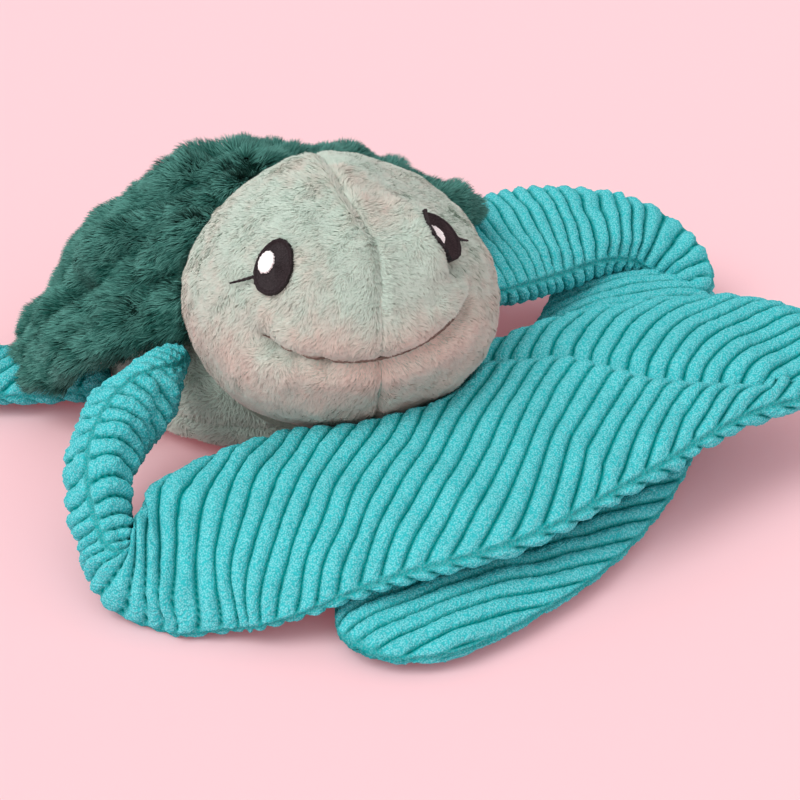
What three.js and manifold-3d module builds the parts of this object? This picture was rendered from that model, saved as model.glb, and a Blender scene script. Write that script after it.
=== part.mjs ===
// A weighted plush sea turtle lying on its belly with its long front flippers crossed under its chin.
// Millimetres. +X is the turtle's left, -Y is where its nose points, +Z is up, and the origin
// lies on the surface that it rests on, under the body.
import * as THREE from 'three';
import { mergeVertices } from 'three/addons/utils/BufferGeometryUtils.js';
import Module from 'manifold-3d';

// Cloth, pile and clearances
const CLOTH = 3;             // short plush and corduroy, backing and pile together
const SHELL_PILE = 9;        // the long pile of the shell, with its backing
const LINER = 1.2;           // cotton of the bead pouch
const THREAD = 1.1;          // radius of the embroidered lines
const GAP = 0.3;             // between pieces that touch
const TURN_GAP = 0.6;        // between pieces that turn on each other
const ELBOW_GAP = 1.2;       // between the two lengths of a front flipper, where it bends
const SWING_GAP = 1.1;       // between the shell and a front flipper that opens under it
const CHIN_GAP = 2.5;        // between the chin and the flippers that it lies on
const SEAM_GAP = 0.5;        // between the two panels of a flipper

// Head
const HEAD_WIDTH = 133;
const HEAD_DEPTH = 124;
const HEAD_HEIGHT = 112;
const HEAD_AT = [-6, -90, 86];
const HEAD_YAW = -12;        // degrees, the nose turned to the turtle's right
const HEAD_ROLL = -4;        // degrees, its left side raised
const NAPE_RADIUS = 61;      // the back of the head is a ball, so that it can turn on the neck
const NAPE_AIM = [0, 0.85, -0.5];
const NECK_HOLE_ANGLE = 18;  // half angle of the neck opening, seen from the middle of the head
const NECK_BAND_ANGLE = 27;
const NECK_BAND_SEAT = 7;    // room between the head's ball and the body
const HEAD_SWING = 10;       // degrees that the head can turn to each side
const HEAD_NOD = 15;         // degrees that the nose can be lifted
const CHEEK_BULGE = 4;
const MUZZLE_BULGE = 4;
const SMILE_REACH = 50;      // degrees from the middle of the face to each corner of the mouth
const SMILE_LIFT = 8;        // degrees that the corners stand above the middle
const SMILE_LEVEL = -2;      // degrees of the middle of the mouth
const CREASE_DEPTH = 2.2;
const CREASE_WIDTH = 5;      // degrees

// Eyes, as embroidered ovals
const EYE_WIDTH = 19;
const EYE_HEIGHT = 25;
const EYE_SIDE = 44;         // degrees from the middle of the face
const EYE_LEVEL = 33;        // degrees above the middle of the head
const EYE_THICKNESS = 1.2;
const GLINT_WIDTH = 7.5;
const GLINT_HEIGHT = 10.5;
const GLINT_RAISE = 1;
const GLINT_SHIFT = -3.5;    // both lie towards the turtle's right
const LASH_LENGTH = 9;
const LASH_DROP = 5;         // below the middle of the eye

// Body
const BODY_WIDTH = 144;
const BODY_LENGTH = 178;
const BODY_HEIGHT = 62;
const BODY_AT = [0, 14];
const BODY_SEAM = 20;        // height of the seam between belly and back
const BELLY_CUT = 0.5;       // flattened where it rests

// Bead pouch in the belly
const POUCH_WIDTH = 92;
const POUCH_LENGTH = 104;
const POUCH_HEIGHT = 30;
const POUCH_AT = [0, 30, 24];
const POUCH_MOUTH = 26;      // width of the opening that the beads are poured through

// Shell
const SHELL_WIDTH = 228;
const SHELL_LENGTH = 190;
const SHELL_AT = [0, 16];
const SHELL_TOP = 110;
const SHELL_FLATNESS = 2.1;  // power of the fall from the top to the rim
const RIM_BACK = 24;         // height of the rim at the back and on the right
const RIM_RISE = 60;         // how far the rim climbs towards the neck
const RIM_LEAN = 36;         // how far it lies higher on the left, over the front flipper
const RIDGE_PITCH = 27;      // from one scallop to the next
const RIDGE_SWEEP = 0.5;     // how far the scallops lean back for each millimetre outwards
const RIDGE_DEPTH = 5;

// Front and rear flippers. Each station is a place on the middle line, the half width,
// the half thickness and the roll about that line in degrees.
const SHOULDER_BALL = 9;
const HIP_BALL = 9;
const RIGHT_UPPER = [
  { at: [-62, -47, 52], wide: 9, thick: 9, roll: 20 },
  { at: [-90, -70, 51], wide: 21, thick: 18, roll: 40 },
  { at: [-114, -90, 44], wide: 24, thick: 20, roll: 60 },
  { at: [-128, -114, 34], wide: 24, thick: 17, roll: 75 },
  { at: [-130, -140, 20], wide: 20, thick: 15, roll: 80 },
];
const RIGHT_BLADE = [
  { at: [-148, -148, 12], wide: 24, thick: 11, roll: 10 },
  { at: [-120, -146, 17], wide: 30, thick: 12, roll: 22 },
  { at: [-86, -159, 27], wide: 42, thick: 12, roll: 16 },
  { at: [-48, -171, 34], wide: 46, thick: 12, roll: 10 },
  { at: [-2, -182, 38], wide: 43, thick: 12, roll: 9 },
  { at: [45, -172, 43], wide: 47, thick: 12, roll: 7 },
  { at: [95, -153, 47], wide: 54, thick: 12, roll: 7 },
  { at: [141, -153, 48], wide: 46, thick: 12, roll: 8 },
  { at: [200, -166, 44], wide: 36, thick: 11, roll: 8 },
];
const LEFT_UPPER = [
  { at: [62, -47, 52], wide: 9, thick: 9, roll: 0 },
  { at: [92, -27, 48], wide: 28, thick: 13, roll: 14 },
  { at: [124, -8, 46], wide: 34, thick: 13, roll: 19 },
  { at: [158, 2, 43], wide: 32, thick: 13, roll: 22 },
  { at: [190, -2, 37], wide: 27, thick: 12, roll: 23 },
  { at: [207, -17, 28], wide: 20, thick: 10, roll: 20 },
];
const LEFT_BLADE = [
  { at: [218, -4, 13], wide: 30, thick: 12, roll: 0 },
  { at: [188, -36, 13], wide: 33, thick: 12, roll: 0 },
  { at: [142, -88, 12], wide: 38, thick: 12, roll: 0 },
  { at: [86, -147, 11], wide: 41, thick: 11, roll: 0 },
  { at: [30, -185, 9], wide: 41, thick: 9, roll: 0 },
  { at: [-18, -207, 9], wide: 37, thick: 9, roll: 0 },
  { at: [-68, -226, 8], wide: 28, thick: 8, roll: 0 },
];
const BLADE_TIP_ROUND = 30;
const UPPER_END_ROUND = 14;
const RIGHT_SWING = 30;      // degrees that the right front flipper can open at the shoulder
const LEFT_SWING = 20;       // and the left one, which the shell stops sooner
const ELBOW_SWING = 50;      // degrees that each front flipper can open at its bend
const RIGHT_REAR = [
  { at: [-73, 13, 13], wide: 9, thick: 9, roll: 0 },
  { at: [-99, 31, 12], wide: 18, thick: 9, roll: 0 },
  { at: [-126, 53, 12], wide: 23, thick: 10, roll: 0 },
  { at: [-164, 88, 11], wide: 18, thick: 9, roll: 0 },
];
const REAR_TIP_ROUND = 18;

// Facets, as rings along and sides round. What lies inside has fewer than what shows.
const FINE_LIMB = [13, 12];
const PLAIN_LIMB = [10, 8];
const FINE_HEAD = [17, 26];
const PLAIN_HEAD = [9, 16];
const FINE_BODY = [10, 24];
const PLAIN_BODY = [7, 16];
const FINE_SHELL = [8, 56];
const PLAIN_SHELL = [6, 20];
const BIG_BALL = [36, 10];
const ELBOW_BALL = [20, 10];
const SMALL_BALL = [10, 6];
const POUCH_FACETS = [18, 8];

// Colours
const SAGE = 0xa9b8a8;
const DARK_GREEN = 0x2f6458;
const TURQUOISE = 0x6fc3c0;
const BLACK = 0x141113;
const WHITE = 0xf7f7f5;
const FIBRE = 0xf1efe9;
const COTTON = 0xe4dccb;
const BEADS = 0xcfdde0;

const wasm = await Module();
wasm.setup();

const radians = THREE.MathUtils.degToRad;
const vector = (place) => new THREE.Vector3(...place);
const smooth = (low, high, value) => THREE.MathUtils.smoothstep(value, low, high);
const bump = (value, width) => Math.exp(-((value / width) ** 2));

// Solids

function toSolid(geometry) {
  const merged = mergeVertices(geometry, 1e-4);
  const mesh = new wasm.Mesh({
    numProp: 3,
    vertProperties: new Float32Array(merged.attributes.position.array),
    triVerts: new Uint32Array(merged.index.array),
  });
  return new wasm.Manifold(mesh);
}

function toGeometry(solid) {
  const mesh = solid.getMesh();
  const geometry = new THREE.BufferGeometry();
  geometry.setAttribute('position', new THREE.BufferAttribute(mesh.vertProperties, 3));
  geometry.setIndex(new THREE.BufferAttribute(mesh.triVerts, 1));
  return geometry;
}

function signedVolume(positions, faces) {
  let sum = 0;
  const [a, b, c] = [new THREE.Vector3(), new THREE.Vector3(), new THREE.Vector3()];
  for (let i = 0; i < faces.length; i += 3) {
    a.fromArray(positions, 3 * faces[i]);
    b.fromArray(positions, 3 * faces[i + 1]);
    c.fromArray(positions, 3 * faces[i + 2]);
    sum += a.dot(b.cross(c));
  }
  return sum;
}

// Joins rings of points into one closed body, with a point at each end.
function loft(first, rings, last) {
  const sides = rings[0].length;
  const points = [first, ...rings.flat(), last];
  const end = points.length - 1;
  const faces = [];
  for (let j = 0; j < sides; j += 1) {
    const next = (j + 1) % sides;
    faces.push(0, 1 + next, 1 + j);
    for (let i = 0; i < rings.length - 1; i += 1) {
      const [a, b] = [1 + i * sides + j, 1 + i * sides + next];
      faces.push(a, b, b + sides, a, b + sides, a + sides);
    }
    const row = 1 + (rings.length - 1) * sides;
    faces.push(end, row + j, row + next);
  }
  const positions = points.flatMap((point) => [point.x, point.y, point.z]);
  if (signedVolume(positions, faces) < 0) {
    faces.reverse();
  }
  const geometry = new THREE.BufferGeometry();
  geometry.setAttribute('position', new THREE.Float32BufferAttribute(positions, 3));
  geometry.setIndex(faces);
  return toSolid(geometry);
}

// A faceted ball. Its facets touch the radius from outside, so that what it makes room for fits.
function ball(radius, place, facets, squash = 1) {
  const outside = radius / Math.cos(Math.PI / facets[0]) / Math.cos(Math.PI / 2 / facets[1]);
  const geometry = new THREE.SphereGeometry(outside, ...facets);
  geometry.deleteAttribute('normal');
  geometry.deleteAttribute('uv');
  geometry.rotateX(Math.PI / 2);
  geometry.scale(1, 1, squash);
  geometry.translate(...place);
  return toSolid(geometry);
}

function slab(low, high) {
  const size = vector(high).sub(vector(low));
  const middle = vector(high).add(vector(low)).multiplyScalar(0.5);
  const geometry = new THREE.BoxGeometry(size.x, size.y, size.z);
  geometry.deleteAttribute('normal');
  geometry.deleteAttribute('uv');
  geometry.translate(middle.x, middle.y, middle.z);
  return toSolid(geometry);
}

function cone(halfAngle, length, place, aim) {
  const geometry = new THREE.ConeGeometry(length * Math.tan(radians(halfAngle)), length, 24);
  geometry.deleteAttribute('normal');
  geometry.deleteAttribute('uv');
  geometry.translate(0, -length / 2, 0);
  const turn = new THREE.Quaternion();
  turn.setFromUnitVectors(new THREE.Vector3(0, -1, 0), vector(aim).normalize());
  geometry.applyQuaternion(turn);
  geometry.translate(...place);
  return toSolid(geometry);
}

// The solid turned by some degrees about a line through a place.
function turned(solid, place, axis, degrees) {
  const turn = new THREE.Matrix4().makeTranslation(...place);
  turn.multiply(new THREE.Matrix4().makeRotationAxis(vector(axis).normalize(), radians(degrees)));
  turn.multiply(new THREE.Matrix4().makeTranslation(...place.map((value) => -value)));
  return solid.transform(turn.elements);
}

const EVERYWHERE = 400;
const above = (height) => slab([-EVERYWHERE, -EVERYWHERE, height], [EVERYWHERE, EVERYWHERE, EVERYWHERE]);
const below = (height) => slab([-EVERYWHERE, -EVERYWHERE, -EVERYWHERE], [EVERYWHERE, EVERYWHERE, height]);

// Head. A direction on the head is given by its side angle from the nose and its level.

const headTurn = new THREE.Quaternion().setFromEuler(
  new THREE.Euler(0, radians(HEAD_ROLL), radians(HEAD_YAW), 'ZYX'),
);

function headAim(side, level) {
  const flat = Math.cos(radians(level));
  return new THREE.Vector3(
    flat * Math.sin(radians(side)),
    -flat * Math.cos(radians(side)),
    Math.sin(radians(level)),
  );
}

// The nape is aimed at the body, so in the head's own frame its direction is turned back.
const napeInHead = vector(NAPE_AIM).normalize().applyQuaternion(headTurn.clone().invert());

function smileLevel(side) {
  return SMILE_LEVEL + SMILE_LIFT * (side / SMILE_REACH) ** 2;
}

// Distance from the middle of the head to its skin, along a direction in the head's own frame.
function headRadius(aim) {
  const oval = 1 / Math.hypot(aim.x / (HEAD_WIDTH / 2), aim.y / (HEAD_DEPTH / 2), aim.z / (HEAD_HEIGHT / 2));
  const side = THREE.MathUtils.radToDeg(Math.atan2(aim.x, -aim.y));
  const level = THREE.MathUtils.radToDeg(Math.asin(THREE.MathUtils.clamp(aim.z, -1, 1)));
  const facing = smooth(0, 0.35, -aim.y);
  const cheeks = CHEEK_BULGE * bump(Math.abs(side) - 44, 26) * bump(level + 16, 20);
  const muzzle = MUZZLE_BULGE * bump(side, 34) * bump(level - 6, 22);
  const corner = 1 - smooth(SMILE_REACH - 4, SMILE_REACH + 6, Math.abs(side));
  const crease = -CREASE_DEPTH * bump(level - smileLevel(side), CREASE_WIDTH) * corner;
  const face = oval + facing * (cheeks + muzzle + crease);
  const nape = smooth(0.35, 0.75, aim.dot(napeInHead));
  return THREE.MathUtils.lerp(face, NAPE_RADIUS, nape);
}

function onHead(aim, raise) {
  const place = aim.clone().multiplyScalar(headRadius(aim) + raise);
  return place.applyQuaternion(headTurn).add(vector(HEAD_AT));
}

// The whole head, drawn in by an inset, as rings round the line through the ears.
function headSolid(inset, [count, sides]) {
  const ringAt = (swing) => {
    const ring = [];
    for (let j = 0; j < sides; j += 1) {
      const turn = (2 * Math.PI * j) / sides;
      const reach = Math.cos(swing);
      ring.push(onHead(
        new THREE.Vector3(Math.sin(swing), -reach * Math.cos(turn), reach * Math.sin(turn)),
        -inset,
      ));
    }
    return ring;
  };
  const rings = [];
  for (let i = 1; i <= count; i += 1) {
    rings.push(ringAt(-Math.PI / 2 + (Math.PI * i) / (count + 1)));
  }
  return loft(
    onHead(new THREE.Vector3(-1, 0, 0), -inset),
    rings,
    onHead(new THREE.Vector3(1, 0, 0), -inset),
  );
}

// One side of the head's middle seam, as a slab in the head's own frame.
function headSide(sign) {
  const geometry = new THREE.BoxGeometry(EVERYWHERE, 2 * EVERYWHERE, 2 * EVERYWHERE);
  geometry.deleteAttribute('normal');
  geometry.deleteAttribute('uv');
  geometry.translate(sign * (EVERYWHERE / 2 + GAP / 2), 0, 0);
  geometry.applyQuaternion(headTurn);
  geometry.translate(...HEAD_AT);
  return toSolid(geometry);
}

// A thin oval lying on the head, from one height over the skin to another.
function headPatch(side, level, width, height, bottom, top) {
  const steps = 2;
  const sides = 18;
  const place = (share, turn, raise) => onHead(headAim(
    side + THREE.MathUtils.radToDeg((share * Math.cos(turn) * width) / HEAD_DEPTH / Math.cos(radians(level))),
    level + THREE.MathUtils.radToDeg((share * Math.sin(turn) * height) / HEAD_DEPTH),
  ), raise);
  const ringAt = (share, raise) => {
    const ring = [];
    for (let j = 0; j < sides; j += 1) {
      ring.push(place(share, (2 * Math.PI * j) / sides, raise));
    }
    return ring;
  };
  const rings = [];
  for (let i = 1; i <= steps; i += 1) {
    rings.push(ringAt(i / steps, top));
  }
  for (let i = steps; i >= 1; i -= 1) {
    rings.push(ringAt(i / steps, bottom));
  }
  return loft(place(0, 0, top), rings, place(0, 0, bottom));
}

// A line of thread along the head's skin, as a tube through places given by side and level.
function headThread(places, radius) {
  const route = places.map(([side, level]) => onHead(headAim(side, level), 0));
  const curve = new THREE.CatmullRomCurve3(route);
  const section = new THREE.Shape();
  section.absarc(0, 0, radius, 0, 2 * Math.PI);
  const geometry = new THREE.ExtrudeGeometry(section, {
    extrudePath: curve,
    steps: 2 * places.length + 4,
    curveSegments: 2,
  });
  geometry.deleteAttribute('normal');
  geometry.deleteAttribute('uv');
  return toSolid(geometry);
}

// Body, drawn in by an inset. The belly is flatter than the back.
function bodySolid(inset, [count, sides]) {
  const ringAt = (lift) => {
    const lower = lift < 0;
    const power = lower ? 0.55 : 0.9;
    const reach = Math.cos(lift) ** power;
    const rise = Math.abs(Math.sin(lift)) ** power;
    const height = lower
      ? BODY_SEAM - rise * (BODY_SEAM + BELLY_CUT - inset)
      : BODY_SEAM + rise * (BODY_HEIGHT - BODY_SEAM - inset);
    const ring = [];
    for (let j = 0; j < sides; j += 1) {
      const turn = (2 * Math.PI * j) / sides;
      ring.push(new THREE.Vector3(
        BODY_AT[0] + reach * (BODY_WIDTH / 2 - inset) * Math.cos(turn),
        BODY_AT[1] + reach * (BODY_LENGTH / 2 - inset) * Math.sin(turn),
        height,
      ));
    }
    return ring;
  };
  const rings = [];
  for (let i = 1; i <= count; i += 1) {
    rings.push(ringAt(-Math.PI / 2 + (Math.PI * i) / (count + 1)));
  }
  return loft(
    new THREE.Vector3(...BODY_AT, -BELLY_CUT + inset),
    rings,
    new THREE.Vector3(...BODY_AT, BODY_HEIGHT - inset),
  ).intersect(above(inset));
}

function pouchSolid(inset) {
  return ball(1, [0, 0, 0], POUCH_FACETS)
    .scale([POUCH_WIDTH / 2 - inset, POUCH_LENGTH / 2 - inset, POUCH_HEIGHT / 2 - inset])
    .translate(POUCH_AT);
}

// Shell, drawn in by an inset. The cover's outside has scallops that run outwards and back
// from its spine, and the pad inside it is plain.
function shellPoint(reach, turn, inset, scalloped) {
  const forward = Math.max(0, -Math.sin(turn));
  const leftward = Math.max(0, Math.cos(turn));
  const rim = RIM_BACK + RIM_RISE * forward ** 1.2 + RIM_LEAN * leftward;
  const rise = 1 - reach ** SHELL_FLATNESS;
  const drawnIn = inset + (scalloped ? 0 : RIDGE_DEPTH);
  const place = new THREE.Vector3(
    reach * (SHELL_WIDTH / 2 - drawnIn) * Math.cos(turn),
    reach * (SHELL_LENGTH / 2 - drawnIn) * Math.sin(turn),
    rim + rise * (SHELL_TOP - rim - drawnIn),
  );
  if (scalloped) {
    const phase = (place.y - RIDGE_SWEEP * Math.abs(place.x)) / RIDGE_PITCH;
    const groove = 1 - Math.abs(Math.sin(Math.PI * phase)) ** 0.7;
    const outward = new THREE.Vector3(place.x / SHELL_WIDTH, place.y / SHELL_LENGTH, 0.5).normalize();
    place.addScaledVector(outward, -RIDGE_DEPTH * groove);
  }
  return place.add(new THREE.Vector3(...SHELL_AT, 0));
}

function shellSolid(inset, drop, [count, sides], scalloped) {
  const rings = [];
  for (let i = 1; i <= count; i += 1) {
    const ring = [];
    for (let j = 0; j < sides; j += 1) {
      ring.push(shellPoint(Math.sin((Math.PI * i) / (2 * count)), (2 * Math.PI * j) / sides, inset, scalloped));
    }
    rings.push(ring);
  }
  if (drop > 0) {
    rings.push(rings.at(-1).map((point) => new THREE.Vector3(point.x, point.y, point.z - drop)));
  }
  return loft(
    shellPoint(0, 0, inset, scalloped),
    rings,
    new THREE.Vector3(...SHELL_AT, RIM_BACK - drop),
  );
}

// Flippers

// The middle line of a flipper with its size and roll at a distance along it.
function limbRoute(stations) {
  const line = new THREE.CatmullRomCurve3(stations.map((station) => vector(station.at)));
  line.arcLengthDivisions = 400;
  const along = (name, share) => {
    const points = stations.map((station, i) => new THREE.Vector2(i, station[name]));
    return new THREE.SplineCurve(points).getPoint(share).y;
  };
  return { line, length: line.getLength(), along };
}

function limbFrame(route, distance) {
  const within = THREE.MathUtils.clamp(distance, 0, route.length);
  const share = route.line.getUtoTmapping(within / route.length);
  const forward = route.line.getTangent(share);
  const level = forward.clone().cross(new THREE.Vector3(0, 0, 1)).normalize();
  const roll = radians(route.along('roll', share));
  return {
    middle: route.line.getPoint(share).addScaledVector(forward, distance - within),
    forward,
    side: level.clone().applyAxisAngle(forward, roll),
    up: level.clone().cross(forward).applyAxisAngle(forward, roll),
    wide: route.along('wide', share),
    thick: route.along('thick', share),
  };
}

// A flipper drawn in by an inset. half is 1 for its upper panel's side of the seam, -1 for
// the lower one's and 0 for both.
function limbSolid(limb, inset, half, [count, sides]) {
  const route = limbRoute(limb.stations);
  const span = route.length - 2 * inset;
  const roundness = (distance) => {
    const fromStart = Math.min(1, distance / (limb.startRound - inset));
    const fromEnd = Math.min(1, (span - distance) / (limb.endRound - inset));
    return Math.sqrt(1 - (1 - fromStart) ** 2) * Math.sqrt(1 - (1 - fromEnd) ** 2);
  };
  const seam = half * (SEAM_GAP / 2);
  const rings = [];
  for (let i = 1; i <= count; i += 1) {
    const distance = (span * (1 - Math.cos((Math.PI * i) / (count + 1)))) / 2;
    const frame = limbFrame(route, inset + distance);
    const share = roundness(distance);
    const ring = [];
    const points = half === 0 ? sides : sides / 2 + 1;
    for (let j = 0; j < points; j += 1) {
      const turn = (2 * Math.PI * j) / sides;
      const rise = share * (frame.thick - inset) * Math.sin(turn) * (half || 1);
      ring.push(frame.middle.clone()
        .addScaledVector(frame.side, share * (frame.wide - inset) * Math.cos(turn))
        .addScaledVector(frame.up, half === 0 ? rise : seam + rise));
    }
    rings.push(ring);
  }
  const tip = (distance) => {
    const frame = limbFrame(route, distance);
    return frame.middle.addScaledVector(frame.up, seam);
  };
  return loft(tip(inset), rings, tip(route.length - inset));
}

// The front flippers open away from the head, each about an upright line.
const OPENS_RIGHT = [0, 0, -1];
const OPENS_LEFT = [0, 0, 1];

// The two panels and the filling of a flipper, with what it makes room for taken away.
function flipperSolids(limb, room) {
  const inside = limbSolid(limb, CLOTH, 0, PLAIN_LIMB);
  const cut = (solid) => (room ? solid.subtract(room) : solid);
  return {
    top_panel: cut(limbSolid(limb, 0, 1, FINE_LIMB).subtract(inside)),
    bottom_panel: cut(limbSolid(limb, 0, -1, FINE_LIMB).subtract(inside)),
    filling: cut(limbSolid(limb, CLOTH + GAP, 0, PLAIN_LIMB)),
  };
}

// Where a flipper's start turns, at the middle of its rounded end.
function pivotOf(limb) {
  return limbFrame(limbRoute(limb.stations), limb.startRound).middle;
}

const mirrored = (stations) => stations.map((station) => ({
  ...station,
  at: [-station.at[0], station.at[1], station.at[2]],
  roll: -station.roll,
}));

const limbs = {
  rightUpper: { stations: RIGHT_UPPER, startRound: SHOULDER_BALL, endRound: UPPER_END_ROUND },
  leftUpper: { stations: LEFT_UPPER, startRound: SHOULDER_BALL, endRound: UPPER_END_ROUND },
  rightBlade: { stations: RIGHT_BLADE, startRound: RIGHT_BLADE[0].wide, endRound: BLADE_TIP_ROUND },
  leftBlade: { stations: LEFT_BLADE, startRound: LEFT_BLADE[0].wide, endRound: BLADE_TIP_ROUND },
  rightRear: { stations: RIGHT_REAR, startRound: HIP_BALL, endRound: REAR_TIP_ROUND },
  leftRear: { stations: mirrored(RIGHT_REAR), startRound: HIP_BALL, endRound: REAR_TIP_ROUND },
};

// Room for what turns: the head's ball, and the balls of the shoulders and hips.
function roomForHead(extra) {
  return ball(NAPE_RADIUS + NECK_BAND_SEAT + extra, HEAD_AT, BIG_BALL);
}

function roomForLimbs(extra) {
  return [limbs.rightUpper, limbs.leftUpper, limbs.rightRear, limbs.leftRear]
    .map((limb) => ball(limb.startRound + TURN_GAP + extra, pivotOf(limb).toArray(), SMALL_BALL))
    .reduce((room, socket) => room.add(socket));
}

// Room for the chin as the head turns and nods over the crossed flippers
function roomForChin() {
  const head = headSolid(-CHIN_GAP, PLAIN_HEAD);
  const earToEar = new THREE.Vector3(-1, 0, 0).applyQuaternion(headTurn).toArray();
  const swings = [-HEAD_SWING, 0, HEAD_SWING].map((swing) => turned(head, HEAD_AT, [0, 0, 1], swing));
  const nods = [HEAD_NOD / 2, HEAD_NOD].map((nod) => turned(head, HEAD_AT, earToEar, nod));
  return [...swings, ...nods].reduce((room, chin) => room.add(chin));
}

// Room for a flipper as it opens about the start of its middle line
function roomForSwing(limb, gap, axis, swing) {
  const flipper = limbSolid(limb, -gap, 0, FINE_LIMB);
  return [0, 1, 2, 3, 4, 5, 6]
    .map((step) => turned(flipper, pivotOf(limb).toArray(), axis, (step * swing) / 6))
    .reduce((room, place) => room.add(place));
}

// The elbow end of a blade turns inside the end of its upper flipper.
function elbowRoom(blade, axis) {
  const pivot = pivotOf(blade);
  const frame = limbFrame(limbRoute(blade.stations), blade.startRound);
  const flatness = (frame.thick + ELBOW_GAP) / (frame.wide + ELBOW_GAP);
  const turning = ball(frame.wide + ELBOW_GAP, pivot.toArray(), ELBOW_BALL, flatness);
  return turning.add(roomForSwing(blade, ELBOW_GAP, axis, ELBOW_SWING));
}

// Assembly

const turtle = new THREE.Group();

function addPiece(name, solid, colour, roughness) {
  const material = new THREE.MeshStandardMaterial({ color: colour, roughness, metalness: 0 });
  const mesh = new THREE.Mesh(toGeometry(solid), material);
  mesh.name = name;
  turtle.add(mesh);
}

const room = roomForHead(0).add(roomForLimbs(0));
const roomInside = roomForHead(CLOTH).add(roomForLimbs(CLOTH));
const roomFilling = roomForHead(CLOTH + GAP).add(roomForLimbs(CLOTH + GAP));
const neckReach = NAPE_RADIUS + NECK_BAND_SEAT + 2 * CLOTH;
const neckHole = cone(NECK_HOLE_ANGLE, neckReach, HEAD_AT, NAPE_AIM);

// Head: two side panels that meet on the middle seam, open at the neck, with the eyes and the
// mouth stitched on. Each thread lies in a groove that its pull leaves in the cloth.
const degreesOf = (length) => THREE.MathUtils.radToDeg((2 * length) / HEAD_DEPTH);
const lashLevel = EYE_LEVEL - degreesOf(LASH_DROP);
const lashStart = EYE_SIDE + degreesOf(EYE_WIDTH / 2 + 2 * THREAD) / Math.cos(radians(EYE_LEVEL));
const lashEnd = lashStart + degreesOf(LASH_LENGTH) / Math.cos(radians(lashLevel));
const lashPlaces = (sign) => [
  [sign * lashStart, lashLevel],
  [(sign * (lashStart + lashEnd)) / 2, lashLevel - 1],
  [sign * lashEnd, lashLevel - 1],
];
const smilePlaces = [];
for (let i = -4; i <= 4; i += 1) {
  const side = (SMILE_REACH * i) / 4;
  smilePlaces.push([side, smileLevel(side)]);
}
const threads = [
  ['smile_stitch', smilePlaces, SAGE],
  ['lash_stitch_right', lashPlaces(-1), BLACK],
  ['lash_stitch_left', lashPlaces(1), BLACK],
];
let headCover = headSolid(0, FINE_HEAD).subtract(headSolid(CLOTH, PLAIN_HEAD)).subtract(neckHole);
for (const [name, places, colour] of threads) {
  headCover = headCover.subtract(headThread(places, THREAD + GAP));
  addPiece(name, headThread(places, THREAD), colour, 0.8);
}
addPiece('head_panel_right', headCover.intersect(headSide(-1)), SAGE, 0.95);
addPiece('head_panel_left', headCover.intersect(headSide(1)), SAGE, 0.95);
addPiece('head_filling', headSolid(CLOTH + GAP, PLAIN_HEAD), FIBRE, 1);
for (const [name, sign] of [['right', -1], ['left', 1]]) {
  const eyeTop = GAP + EYE_THICKNESS;
  const glintTop = eyeTop + GAP + EYE_THICKNESS;
  const eye = headPatch(sign * EYE_SIDE, EYE_LEVEL, EYE_WIDTH, EYE_HEIGHT, GAP, eyeTop);
  const glintSide = sign * EYE_SIDE + degreesOf(GLINT_SHIFT) / Math.cos(radians(EYE_LEVEL));
  const glintLevel = EYE_LEVEL + degreesOf(GLINT_RAISE);
  const glint = headPatch(glintSide, glintLevel, GLINT_WIDTH, GLINT_HEIGHT, eyeTop + GAP, glintTop);
  addPiece(`eye_patch_${name}`, eye, BLACK, 0.6);
  addPiece(`eye_glint_${name}`, glint, WHITE, 0.6);
}

// Neck: the band of gathered cloth that joins the head's opening to the body's
const bandOuter = ball(NAPE_RADIUS + NECK_BAND_SEAT - TURN_GAP, HEAD_AT, BIG_BALL);
const bandInner = ball(NAPE_RADIUS + TURN_GAP, HEAD_AT, BIG_BALL);
const bandCone = cone(NECK_BAND_ANGLE, neckReach, HEAD_AT, NAPE_AIM).subtract(neckHole);
addPiece('neck_band', bandOuter.subtract(bandInner).intersect(bandCone), SAGE, 0.95);

// Body: belly and back panels, open at the neck, round the filling and the weight
const bodyHollow = bodySolid(CLOTH, PLAIN_BODY).subtract(roomInside);
const bodyCover = bodySolid(0, FINE_BODY).subtract(room).subtract(bodyHollow).subtract(neckHole);
addPiece('belly_panel', bodyCover.intersect(below(BODY_SEAM - GAP / 2)), SAGE, 0.95);
addPiece('back_panel', bodyCover.intersect(above(BODY_SEAM + GAP / 2)), SAGE, 0.95);
const pouchMouth = slab(
  [POUCH_AT[0] - POUCH_MOUTH / 2, POUCH_AT[1], POUCH_AT[2] - LINER],
  [POUCH_AT[0] + POUCH_MOUTH / 2, POUCH_AT[1] + POUCH_LENGTH, POUCH_AT[2] + LINER],
);
const bodyFilling = bodySolid(CLOTH + GAP, PLAIN_BODY).subtract(roomFilling).subtract(pouchSolid(-GAP));
const fillingMouth = slab(
  [POUCH_AT[0] - POUCH_MOUTH / 2, POUCH_AT[1], POUCH_AT[2] - LINER],
  [POUCH_AT[0] + POUCH_MOUTH / 2, POUCH_AT[1] + BODY_LENGTH, POUCH_AT[2] + LINER],
);
addPiece('body_filling', bodyFilling.subtract(fillingMouth), FIBRE, 1);
addPiece('bead_pouch', pouchSolid(0).subtract(pouchSolid(LINER)).subtract(pouchMouth), COTTON, 0.9);
addPiece('bead_fill', pouchSolid(LINER + GAP), BEADS, 0.3);

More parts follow.
